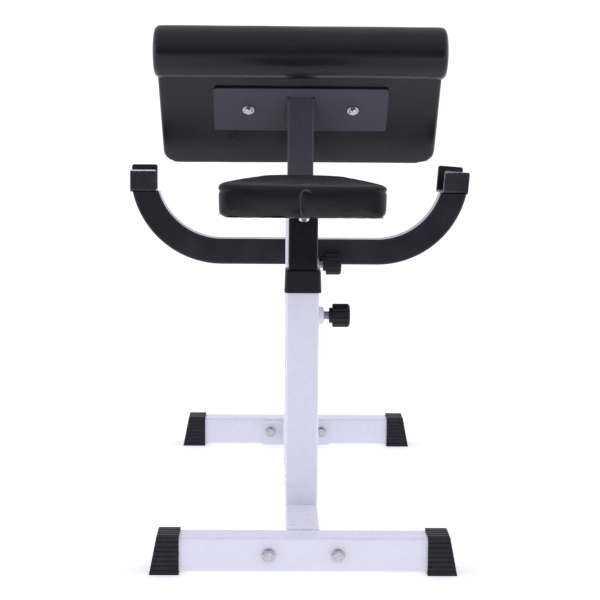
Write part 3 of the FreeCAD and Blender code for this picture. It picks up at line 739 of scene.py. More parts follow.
# ---------------------------------------------------------------------------- upholstery
@dataclass
class Upholstery:
    """Foam under a stretched vinyl cover, puffed up by cloth simulation.

    Args:
        voxel: edge length of the remeshed skin.
        pressure: the foam's push on the cover.
        frames: steps of simulation.
        cap: furthest that a point may move.
    """

    voxel: float = 4.5 * MM
    pressure: float = 1.2
    frames: int = 20
    cap: float = 6 * MM

    def remesh(self, piece: bpy.types.Object, smoothing: int = 2) -> None:
        """Give the piece an even skin of small quads.

        Args:
            piece: the rough form, changed in place.
            smoothing: how often the new skin is relaxed.
        """
        modifier = piece.modifiers.new("even_skin", "REMESH")
        modifier.mode = "VOXEL"
        modifier.voxel_size = self.voxel
        relax = piece.modifiers.new("relax", "SMOOTH")
        relax.factor = 0.5
        relax.iterations = smoothing
        bake_modifiers(piece)

    def puff(self, piece: bpy.types.Object, held: np.ndarray) -> None:
        """Blow the cover up with its held points fixed, and keep the result.

        Args:
            piece: the remeshed cushion.
            held: a number from 0 to 1 per point, 1 where the cover is stapled down.
        """
        start = points_of(piece)
        group = piece.vertex_groups.new(name="stapled")
        for index, weight in enumerate(held):
            if weight > 0:
                group.add([index], float(weight), "REPLACE")
        cloth = piece.modifiers.new("cover", "CLOTH")
        settings = cloth.settings
        settings.quality = 6
        settings.mass = 0.3
        settings.tension_stiffness = 60
        settings.compression_stiffness = 60
        settings.shear_stiffness = 30
        settings.bending_stiffness = 8.0
        settings.use_pressure = True
        settings.uniform_pressure_force = self.pressure
        settings.vertex_group_mass = group.name
        settings.effector_weights.gravity = 0.0
        cloth.point_cache.frame_start = 1
        cloth.point_cache.frame_end = self.frames
        scene = bpy.context.scene
        for frame in range(1, self.frames + 1):
            scene.frame_set(frame)
        graph = bpy.context.evaluated_depsgraph_get()
        swollen = bpy.data.meshes.new_from_object(piece.evaluated_get(graph))
        piece.modifiers.remove(cloth)
        scene.frame_set(1)
        end = np.empty(len(swollen.vertices) * 3)
        swollen.vertices.foreach_get("co", end)
        bpy.data.meshes.remove(swollen)
        move = end.reshape(-1, 3) - start
        length = np.linalg.norm(move, axis=1, keepdims=True)
        move *= np.minimum(1.0, self.cap / np.maximum(length, MERGE_WITHIN * MM))
        set_points(piece, start + move)
        LOG.info("%s swelled by up to %.1f mm, %.1f mm on average", piece.name,
                 1000 * float(length.max()), 1000 * float(length.mean()))

    def subdivide(self, piece: bpy.types.Object) -> None:
        """Smooth the result with one level of subdivision.

        Args:
            piece: the swollen cushion, changed in place.
        """
        modifier = piece.modifiers.new("fine_skin", "SUBSURF")
        modifier.levels = 1
        modifier.render_levels = 1
        bake_modifiers(piece)


def soft_noise(points: np.ndarray, size: float, seed: float) -> np.ndarray:
    """Smooth noise of the given wavelength at each point, from about -1 to 1."""
    offset = Vector((seed, 2 * seed, 3 * seed))
    return np.array([noise.noise(Vector(p) / size + offset) for p in points])


def stack_of_rings(rings: list[np.ndarray]) -> tuple[list, list]:
    """Close a stack of equal rings of points into a skin with flat ends.

    Args:
        rings: arrays of N by 3 points, all with the same N, from one end to the other.

    Returns:
        Vertices and faces.
    """
    count = len(rings[0])
    vertices = [tuple(p) for ring in rings for p in ring]
    faces = []
    for level in range(len(rings) - 1):
        low, high = level * count, (level + 1) * count
        for i in range(count):
            j = (i + 1) % count
            faces.append((low + i, low + j, high + j, high + i))
    faces.append(tuple(reversed(range(count))))
    faces.append(tuple(range(len(vertices) - count, len(vertices))))
    return vertices, faces


def inset_outline(outline: np.ndarray, inset: float) -> np.ndarray:
    """Move a closed outline inwards along its own normals.

    Args:
        outline: N by 2 points, counter-clockwise.
        inset: how far to move it.

    Returns:
        The smaller outline.
    """
    ahead, behind = np.roll(outline, -1, axis=0), np.roll(outline, 1, axis=0)
    along = ahead - behind
    normal = np.stack([-along[:, 1], along[:, 0]], axis=1)
    normal /= np.linalg.norm(normal, axis=1, keepdims=True)
    return outline + inset * normal


def edge_distance(points: np.ndarray, outline: np.ndarray) -> np.ndarray:
    """Distance in plan from each point to the nearest corner point of an outline."""
    gaps = points[:, None, :2] - outline[None, :, :]
    return np.sqrt((gaps ** 2).sum(axis=2).min(axis=1))


def bump_at(value: np.ndarray, centre: float, width: float) -> np.ndarray:
    """A smooth hill of height 1 and the given half width."""
    return np.exp(-((value - centre) / width) ** 2)


def arc_points(centre: tuple[float, float], radius: float, start: float, end: float, count: int) -> list:
    """Points on an arc in degrees, ends included."""
    angles = [math.radians(start + (end - start) * i / (count - 1)) for i in range(count)]
    return [(centre[0] + radius * math.cos(a), centre[1] + radius * math.sin(a)) for a in angles]


def edge_profile(thickness: float, top_radius: float, bottom_radius: float, steps: int = 6) -> list:
    """Draw a rounded edge, from the underside to the top.

    Args:
        thickness: height of the edge.
        top_radius: radius of its upper corner.
        bottom_radius: radius of its lower corner.
        steps: points on each corner.

    Returns:
        Pairs of height and inset.
    """
    low = [(bottom_radius * (1 - math.cos(a)), bottom_radius * (1 - math.sin(a)))
           for a in np.linspace(0, math.pi / 2, steps)]
    high = [(thickness - top_radius * (1 - math.sin(a)), top_radius * (1 - math.cos(a)))
            for a in np.linspace(0, math.pi / 2, steps)]
    return low + high


# ---------------------------------------------------------------------------- repeats by nodes
class Repeat(Enum):
    """What is set out along a path."""

    WELD_RIPPLE = "weld_ripple"
    STAPLE = "staple"


@dataclass(frozen=True)
class PathRepeat:
    """Geometry Nodes that set out equal small pieces along the edges of a path.

    Args:
        kind: which small piece.
        pitch: distance between pieces.
        size: the piece's size along the path, across it and away from it.
        jitter: share by which sizes vary.
        seed: seed of the variation.
    """

    kind: Repeat
    pitch: float
    size: tuple[float, float, float]
    jitter: float = 0.1
    seed: int = 7

    def tree(self, finish: Finish) -> bpy.types.NodeTree:
        """Build the node group with named inputs for its sizes.

        Args:
            finish: the finish that the tree sets.

        Returns:
            The node group.
        """
        tree = bpy.data.node_groups.new("repeat_" + self.kind.value, "GeometryNodeTree")
        face = tree.interface
        face.new_socket("Geometry", in_out="OUTPUT", socket_type="NodeSocketGeometry")
        face.new_socket("Geometry", in_out="INPUT", socket_type="NodeSocketGeometry")
        for name in ("Pitch", "Along", "Across", "Away", "Jitter"):
            face.new_socket(name, in_out="INPUT", socket_type="NodeSocketFloat")
        given = add_node(tree, "NodeGroupInput")
        path = add_node(tree, "GeometryNodeMeshToCurve", inputs={0: given.outputs["Geometry"]})
        evenly = add_node(tree, "GeometryNodeResampleCurve", {"mode": "LENGTH"}, {
            "Curve": path.outputs[0], "Length": given.outputs["Pitch"]})
        tangent = add_node(tree, "GeometryNodeInputTangent")
        turn = add_node(tree, "FunctionNodeAlignEulerToVector", {"axis": "X"}, {
            "Vector": tangent.outputs[0]})
        if self.kind is Repeat.WELD_RIPPLE:
            unit = add_node(tree, "GeometryNodeMeshIcoSphere", inputs={"Radius": 0.5, "Subdivisions": 2})
        else:
            unit = add_node(tree, "GeometryNodeMeshCube", inputs={"Size": (1.0, 1.0, 1.0)})
        low, high = (add_node(tree, "ShaderNodeMath", {"operation": operation}, {
            0: 1.0, 1: given.outputs["Jitter"]}) for operation in ("SUBTRACT", "ADD"))
        vary = add_node(tree, "FunctionNodeRandomValue", {"data_type": "FLOAT"}, {
            2: low.outputs[0], 3: high.outputs[0], "Seed": self.seed})
        size = add_node(tree, "ShaderNodeCombineXYZ", inputs={
            0: given.outputs["Along"], 1: given.outputs["Across"], 2: given.outputs["Away"]})
        varied = add_node(tree, "ShaderNodeVectorMath", {"operation": "SCALE"}, {
            0: size.outputs[0], "Scale": vary.outputs[1]})
        placed = add_node(tree, "GeometryNodeInstanceOnPoints", inputs={
            "Points": evenly.outputs[0], "Instance": unit.outputs["Mesh"], "Rotation": turn.outputs[0],
            "Scale": varied.outputs[0]})
        real = add_node(tree, "GeometryNodeRealizeInstances", inputs={0: placed.outputs[0]})
        painted = add_node(tree, "GeometryNodeSetMaterial", inputs={
            "Geometry": real.outputs[0], "Material": finish.build()})
        smooth = add_node(tree, "GeometryNodeSetShadeSmooth", inputs={
            "Geometry": painted.outputs[0], "Shade Smooth": self.kind is Repeat.WELD_RIPPLE})
        add_node(tree, "NodeGroupOutput", inputs={0: smooth.outputs[0]})
        return tree

    def build(self, name: str, lines: list[tuple[Vector, Vector]], finish: Finish,
              closed: bool = False) -> bpy.types.Object:
        """Set the pieces out along straight lines, or along one closed path of points.

        Args:
            name: the piece's name.
            lines: pairs of points.
            finish: the surface finish.
            closed: whether the lines' first points are one closed path.

        Returns:
            One plain mesh with every piece in it.
        """
        if closed:
            vertices = [line[0] for line in lines]
            edges = [(i, (i + 1) % len(vertices)) for i in range(len(vertices))]
        else:
            vertices = [point for line in lines for point in line]
            edges = [(i, i + 1) for i in range(0, len(vertices), 2)]
        mesh = bpy.data.meshes.new(name)
        mesh.from_pydata([tuple(v) for v in vertices], edges, [])
        piece = bpy.data.objects.new(name, mesh)
        bpy.context.scene.collection.objects.link(piece)
        modifier = piece.modifiers.new("set_out", "NODES")
        modifier.node_group = self.tree(finish)
        values = {"Pitch": self.pitch, "Along": self.size[0], "Across": self.size[1],
                  "Away": self.size[2], "Jitter": self.jitter}
        for item in modifier.node_group.interface.items_tree:
            if item.in_out == "INPUT" and item.name in values:
                modifier[item.identifier] = values[item.name]
        bake_modifiers(piece)
        return piece


# ---------------------------------------------------------------------------- steel frame
@dataclass
class SteelFrame:
    """White welded frame, its feet, uprights, collars, fasteners and the barbell holder.

    Args:
        tube_corner: radius of a tube's corner, which a bead stops short of.
        bead: width of a weld bead.
        ripple: length of one ripple of a bead.
        white: CAD nodes under white paint.
        plastic: CAD nodes of black plastic.
        twist: how far the right hook was tacked on turned, in degrees.
        lean: how far it leans outwards, in degrees.
        tacked_in: how far inwards it was tacked on.
        near_wall: height of the hook's wall on the user's side.
    """

    tube_corner: float = 4 * MM
    bead: float = 5.2 * MM
    ripple: float = 4.4 * MM
    white: tuple[str, ...] = ("main_beam", "rear_joint_plate", "front_joint_plate", "rear_foot_tube",
                              "front_foot_tube", "seat_upright", "pad_upright", "seat_weld_nut",
                              "pad_weld_nut")
    plastic: tuple[str, ...] = ("seat_collar", "pad_collar")
    twist: float = 12.0
    lean: float = 4.5
    tacked_in: float = 5.5 * MM
    near_wall: float = 39 * MM

    def dress(self, nodes: dict) -> None:
        """Give every CAD node of the frame its finish.

        Args:
            nodes: the CAD nodes by name.
        """
        for name in self.white:
            dress_node(nodes[name], WHITE_PAINT)
        dress_node(nodes["bar_holder"], BLACK_PAINT)
        dress_node(nodes["bar_hook_left"], self.rubbed_and_highlit("bar_hook_left", 1.0))
        for name in self.plastic:
            dress_node(nodes[name], BLACK_PLASTIC)
        for foot in ("rear", "front"):
            for side in ("left", "right"):
                dress_node(nodes[f"{foot}_foot_cap_{side}"], CAP_RUBBER)
            for piece in ("bolts", "washers", "nuts"):
                dress_node(nodes[f"{foot}_foot_{piece}"], BRIGHT_ZINC)

    def turn_right_hook(self, nodes: dict) -> None:
        """Stand in a copy of the right hook, tacked on a little turned and leaning outwards.

        Args:
            nodes: the CAD nodes by name.
        """
        low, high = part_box("bar_hook_right")
        foot = Vector(((low.x + high.x) / 2, (low.y + high.y) / 2, low.z))
        piece = bpy.data.objects.new("turned_bar_hook", nodes["bar_hook_right"].data.copy())
        bpy.context.scene.collection.objects.link(piece)
        tidy_normals(piece)
        turn = Matrix.Rotation(math.radians(self.twist), 4, "Z") @ Matrix.Rotation(
            math.radians(self.lean), 4, "Y")
        inwards = Vector((-self.tacked_in, 0, 0))
        piece.data.transform(Matrix.Translation(foot + inwards) @ turn @ Matrix.Translation(-foot))
        dress_node(piece, self.rubbed_and_highlit("bar_hook_right", 0.3))
        finish_piece(piece, Body.FRAME, HOOK_PAINT, "bar_hook_right")

    def rubbed_and_highlit(self, hook: str, amount: float) -> PowderCoat:
        """The hook's paint, with bare steel and a painted highlight along the top of the wall that the bar
        comes in over.

        Args:
            hook: the CAD node.
            amount: how brightly the rim is painted, bare steel and highlight, from 0 to 1.

        Returns:
            The finish for that hook.
        """
        low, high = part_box(hook)
        return replace(HOOK_PAINT, name=f"{HOOK_PAINT.name}_{hook}",
                       rim=(low.z + self.near_wall, (low.y + high.y) / 2, amount))

    def weld_lines(self) -> list[tuple[Vector, Vector]]:
        """Find the corners that are welded: uprights to beam, holder to upright, beam to plates.

        Returns:
            The ends of each straight bead.
        """
        lines = []
        holder, holder_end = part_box("bar_holder")
        holder_side = holder_end.y - holder.y
        for name in ("seat_upright", "pad_upright"):
            low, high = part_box(name)
            x0, x1 = low.x + self.tube_corner, high.x - self.tube_corner
            corners = [(low.y, low.z), (high.y, low.z)]
            if name == "pad_upright":
                corners += [(high.y, holder.z), (high.y, holder.z + holder_side)]
            lines += [(Vector((x0, y, z)), Vector((x1, y, z))) for y, z in corners]
        low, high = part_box("main_beam")
        z0, z1 = low.z + self.tube_corner, high.z - self.tube_corner
        for x in (low.x, high.x):
            lines += [(Vector((x, y, z0)), Vector((x, y, z1))) for y in (low.y, high.y)]
        return lines

    def weld(self) -> None:
        """Lay the rippled beads."""
        ripples = PathRepeat(Repeat.WELD_RIPPLE, RIPPLE_PITCH, (self.ripple, self.bead, self.bead))
        beads = ripples.build("frame_weld_beads", self.weld_lines(), WHITE_PAINT)
        finish_piece(beads, Body.FRAME, WHITE_PAINT, "frame_welds")


def dress_node(node: bpy.types.Object, finish: Finish) -> None:
    """Give a CAD node a finish through its material slots.

    Args:
        node: the CAD node's object.
        finish: the surface finish.
    """
    material = finish.build()
    if not node.material_slots:
        node.data.materials.append(material)
    for slot in node.material_slots:
        slot.material = material


def dress_nodes(nodes: dict, finishes: dict[str, Finish]) -> None:
    """Give each named CAD node its finish."""
    for name, finish in finishes.items():
        dress_node(nodes[name], finish)


# ---------------------------------------------------------------------------- seat
@dataclass
class Seat:
    """Tapered seat on its sliding post.

    Args:
        corner: radius of the two near corners in plan.
        taper: how much each side closes in per metre of depth.
        top_radius: radius of the upper edge.
        bottom_radius: radius of the stapled edge.
        shrink: how much smaller the cover starts than the finished seat.
        crown: height of the foam's crown.
        shoulder: distance from the edge over which the crown rises.
        sag: how much lower the far end is than the near edge.
        lean: how much lower the right edge is than the middle.
        tuck: how far the sides lean in towards the stapled edge.
        pleat: depth of the pleat at the middle of the front.
        dart: depth of the darts at the near corners.
        pucker: depth of the gathers along the stapled edge.
        turn: how far the cover sits turned about the post, in degrees.
        fold_width: width of the fold that stands up beside the pleat.
        fold_height: how far it stands up.
        fold_line: points that the fold runs through: mm to the right, and share of the height.
        cover: how the cover is swelled.
    """

    corner: float = 16 * MM
    taper: float = 0.1675
    top_radius: float = 5 * MM
    bottom_radius: float = 7 * MM
    shrink: float = 0.6 * MM
    crown: float = 3.5 * MM
    shoulder: float = 40 * MM
    sag: float = 3.8 * MM
    lean: float = 1.2 * MM
    tuck: float = 1.2 * MM
    pleat: float = 2.2 * MM
    dart: float = 3.0 * MM
    pucker: float = 3.2 * MM
    turn: float = -1.4
    fold_width: float = 3.6 * MM
    fold_height: float = 2.8 * MM
    fold_line: tuple[tuple[float, float], ...] = (
        (-4.4, 0.05), (-6.0, 0.20), (-6.8, 0.38), (-7.0, 0.55), (-6.6, 0.70), (-4.6, 0.80),
        (-0.4, 0.84), (5.2, 0.82), (10.5, 0.74))
    cover: Upholstery = field(default_factory=lambda: Upholstery(cap=2.0 * MM))

    def outline(self) -> np.ndarray:
        """Draw the plan of the seat: near edge, tapering sides and round far end.

        Returns:
            N by 2 points, counter-clockwise.
        """
        on_nose, on_corner, on_side, on_near = 30, 10, 40, 20
        low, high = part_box("seat_cushion")
        half, depth = (high.x - low.x) / 2, high.y - low.y
        slant = math.hypot(1, self.taper)
        reach = half + self.taper * self.corner
        nose_y = (slant * depth - reach) / (slant - self.taper)
        lean = math.degrees(math.atan(self.taper))
        nose = arc_points((0, nose_y), depth - nose_y, lean, 90, on_nose)
        corner = arc_points((half - self.corner, self.corner), self.corner, -90, 0, on_corner)
        span = np.array(nose[0]) - corner[-1]
        side = [tuple(np.array(corner[-1]) + span * i / on_side) for i in range(1, on_side)]
        near = [((half - self.corner) * i / on_near, 0.0) for i in range(on_near)]
        right = near + corner + side + nose
        left = [(-x, y) for x, y in reversed(right[1:-1])]
        return np.array(right + left) + np.array([0.0, low.y])

    def rough_form(self) -> bpy.types.Object:
        """Stack the plan up through a rounded edge, as the foam is before its cover swells.

        Returns:
            The closed rough form.
        """
        low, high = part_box("seat_cushion")
        outline = self.outline()
        thickness = high.z - low.z - self.shrink
        rings = []
        for height, inset in edge_profile(thickness, self.top_radius, self.bottom_radius):
            lean = self.tuck * (1 - height / thickness)
            ring = inset_outline(outline, inset + self.shrink + lean)
            rings.append(np.column_stack([ring, np.full(len(ring), low.z + height)]))
        piece = mesh_object("seat_cover", *stack_of_rings(rings), BLACK_VINYL)
        tidy_normals(piece)
        return piece

    def raise_crown(self, piece: bpy.types.Object) -> None:
        """Lift the middle of the top, and let the whole seat sag and lean.

        Args:
            piece: the remeshed cover, changed in place.
        """
        lift_below, lift_over = 14 * MM, 6 * MM
        low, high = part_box("seat_cushion")
        points = points_of(piece)
        inside = np.clip(edge_distance(points, self.outline()) / self.shoulder, 0, 1)
        on_top = np.clip((points[:, 2] - high.z + lift_below) / lift_over, 0, 1)
        raised = np.clip((points[:, 2] - low.z) / (high.z - low.z), 0, 1)
        back = np.clip((points[:, 1] - low.y) / (high.y - low.y), 0, 1)
        across = points[:, 0] / high.x
        points[:, 2] += self.crown * on_top * (1 - (1 - inside) ** 2)
        points[:, 2] -= raised * (self.sag * back ** 2 + self.lean * across)
        set_points(piece, points)

    def fold_cover(self, piece: bpy.types.Object) -> None:
        """Gather the stapled edge, dart the corners and pull the pleat at the middle of the front.

        Args:
            piece: the swollen cover, changed in place.
        """
        edge_band, gather_band, rim_band = 14 * MM, 0.17, 0.55
        gathers, slip, bunches = 23, 5, 7
        dents, dent_size, dent_seed = 0.7 * MM, 45 * MM, 3.1
        low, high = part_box("seat_cushion")
        points = points_of(piece)
        centre = (low + high) / 2
        height = (points[:, 2] - low.z) / (high.z - low.z)
        out = points[:, :2] - np.array([centre.x, centre.y])
        out /= np.maximum(np.linalg.norm(out, axis=1, keepdims=True), MERGE_WITHIN)
        around = np.arctan2(out[:, 1], out[:, 0])
        near_edge = np.clip(1 - edge_distance(points, self.outline()) / edge_band, 0, 1)
        beat = np.sin(gathers * around + 2.2 * np.sin(slip * around))
        beat = beat * (0.55 + 0.45 * np.sin(bunches * around + 1))
        gather = bump_at(height, 0.0, gather_band) * near_edge
        slow = soft_noise(points, dent_size, dent_seed)
        rim = bump_at(height, 0.5, rim_band) * near_edge
        points[:, :2] += out * (-self.pucker * gather * beat + dents * slow * rim)[:, None]
        points[:, 2] += 0.8 * self.pucker * gather * beat
        self.pull_pleat(points, height, low)
        self.pull_darts(points, low, high, out)
        floor = low.z + 0.7 * MM
        points[:, 2] = np.where(near_edge > 0.25, points[:, 2], np.maximum(points[:, 2], floor))
        set_points(piece, points)
        post_low, post_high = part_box("seat_post")
        post = Vector((centre.x, (post_low.y + post_high.y) / 2, 0.0))
        piece.data.transform(Matrix.Translation(post) @ Matrix.Rotation(math.radians(self.turn), 4, "Z")
                             @ Matrix.Translation(-post))

    def pull_pleat(self, points: np.ndarray, height: np.ndarray, low: Vector) -> None:
        """Press in the hollow beside the fold that runs up the front from the front bolt.

        Args:
            points: the cover's points, changed in place.
            height: their share of the seat's height.
            low: the seat's lowest corner.
        """
        front_depth, fade, middle = 20 * MM, 12 * MM, 0.42
        hollow_at, hollow_width = -2.2 * MM, 3.2 * MM
        front = np.clip((low.y + front_depth - points[:, 1]) / fade, 0, 1)
        reach = np.clip(1.25 - 6.2 * np.abs(height - middle) ** 1.5, 0, 1)
        hollow = bump_at(points[:, 0], hollow_at, hollow_width)
        points[:, 1] += front * self.pleat * reach * hollow

    def front_fold(self, cover: bpy.types.Object) -> bpy.types.Object:
        """Lay the gathered fold that stands up in the middle of the front and ends in an arch.

        Args:
            cover: the finished seat cover that the fold lies on.

        Returns:
            The fold, a closed strip whose rim is sunk in the cover.
        """
        points_along, points_across, rounds = 90, 9, 12
        stand_off, overlap, sunk_depth = 60 * MM, 0.3 * MM, 2.0 * MM
        low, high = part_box("seat_cushion")
        knots = np.array(self.fold_line)
        steps = np.linspace(0, len(knots) - 1, points_along)
        across = np.interp(steps, range(len(knots)), knots[:, 0]) * MM
        up = low.z + np.interp(steps, range(len(knots)), knots[:, 1]) * (high.z - low.z)
        for _ in range(rounds):
            across[1:-1] = (across[:-2] + 2 * across[1:-1] + across[2:]) / 4
            up[1:-1] = (up[:-2] + 2 * up[1:-1] + up[2:]) / 4
        along = np.column_stack([np.gradient(across), np.gradient(up)])
        along /= np.linalg.norm(along, axis=1, keepdims=True)
        skin = [(u, 0.0) for u in np.linspace(-1, 1, points_across)]
        back = [(u, sunk_depth) for u in (0.8, 0.0, -0.8)]
        rings = []
        for i, (x, z) in enumerate(zip(across, up)):
            share = i / (len(up) - 1)
            start, end = (math.sin(math.pi * min(1.0, part) / 2) for part in (share * 4, (1 - share) * 3))
            size = start * end * (1.0 if share < 0.55 else 1.0 - 0.9 * (share - 0.55))
            ring = []
            for u, sunk in skin + back:
                side = u * self.fold_width / 2
                spot = Vector((x + side * along[i, 1], low.y - stand_off, z - side * along[i, 0]))
                hit, place, _, _ = cover.ray_cast(spot, Vector((0, 1, 0)))
                stand = 0.0 if sunk else self.fold_height * size * math.cos(u * math.pi / 2) ** 1.5
                ring.append((place.x, place.y - stand + overlap + sunk, place.z) if hit else tuple(spot))
            rings.append(np.array(ring))
        # the fold's vinyl is painted paler, as a highlight along it
        piece = mesh_object("seat_front_fold", *stack_of_rings(rings), PAINTED_FOLD_HIGHLIGHT_VINYL)
        tidy_normals(piece)
        shade_smooth(piece)
        return piece

    def pull_darts(self, points: np.ndarray, low: Vector, high: Vector, out: np.ndarray) -> None:
        """Pinch the cover where it is gathered round the near corners, under the upper edge.

        Args:
            points: the cover's points, changed in place.
            low: the seat's lowest corner.
            high: the seat's highest corner.
            out: the outward direction of each point in plan.
        """
        from_side, from_near, from_top, spread = 1.5 * MM, 9 * MM, 11 * MM, 14 * MM
        pinch_width, lip_height, lip_width = 2.2 * MM, 4.5 * MM, 2.6 * MM
        for side in (-1, 1):
            at = np.array([side * (high.x - from_side), low.y + from_near, high.z - from_top])
            gap = points - at
            reach = np.exp(-(gap[:, 0] ** 2 + gap[:, 1] ** 2) / spread ** 2)
            pinch = reach * bump_at(gap[:, 2], 0.0, pinch_width)
            lip = reach * bump_at(gap[:, 2], lip_height, lip_width)
            points[:, :2] += out * (self.dart * (0.45 * lip - pinch))[:, None]

    def build(self, nodes: dict) -> None:
        """Make the cover, staple it and dress the post, plate and fasteners.

        Args:
            nodes: the CAD nodes by name.
        """
        held_to, fade = 5 * MM, 3 * MM
        piece = self.rough_form()
        self.cover.remesh(piece)
        self.raise_crown(piece)
        points = points_of(piece)
        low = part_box("seat_cushion")[0]
        self.cover.puff(piece, np.clip((low.z + held_to - points[:, 2]) / fade, 0, 1))
        self.cover.subdivide(piece)
        self.fold_cover(piece)
        shade_smooth(piece)
        finish_piece(piece, Body.SEAT, BLACK_VINYL, "seat_cushion", "seat_board")
        finish_piece(self.front_fold(piece), Body.SEAT, PAINTED_FOLD_HIGHLIGHT_VINYL)
        self.staple()
        dress_nodes(nodes, {"seat_post": SEAT_POST_PAINT, "seat_plate": BLACK_PAINT,
                            "seat_post_plug": BLACK_PLASTIC, "seat_backing": BACKING_CLOTH,
                            "seat_board": PLYWOOD, "seat_tee_nuts": BRIGHT_ZINC,
                            "seat_washers": BRIGHT_ZINC, "seat_bolts": BRIGHT_ZINC})
        self.weld()

    def staple(self) -> None:
        """Set the row of staples that hold the cover under the board."""
        from_edge, stand, pitch, staple = 12 * MM, 0.2 * MM, 21 * MM, (10 * MM, 0.9 * MM, 0.6 * MM)
        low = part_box("seat_cushion")[0]
        path = inset_outline(self.outline(), from_edge)
        line = [(Vector((x, y, low.z - stand)), None) for x, y in path]
        row = PathRepeat(Repeat.STAPLE, pitch, staple, jitter=0.0)
        staples = row.build("seat_staples", line, BRIGHT_ZINC, closed=True)
        finish_piece(staples, Body.SEAT, BRIGHT_ZINC)

    def weld(self) -> None:
        """Lay the beads round the top of the post, under the plate."""
        low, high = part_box("seat_post")
        z, inset = high.z, 3.5 * MM
        lines = []
        for y in (low.y, high.y):
            lines.append((Vector((low.x + inset, y, z)), Vector((high.x - inset, y, z))))
        for x in (low.x, high.x):
            lines.append((Vector((x, low.y + inset, z)), Vector((x, high.y - inset, z))))
        ripples = PathRepeat(Repeat.WELD_RIPPLE, RIPPLE_PITCH, (4.2 * MM, 5 * MM, 5 * MM), seed=11)
        beads = ripples.build("seat_weld_beads", lines, BLACK_PAINT)
        finish_piece(beads, Body.SEAT, BLACK_PAINT, "seat_welds")


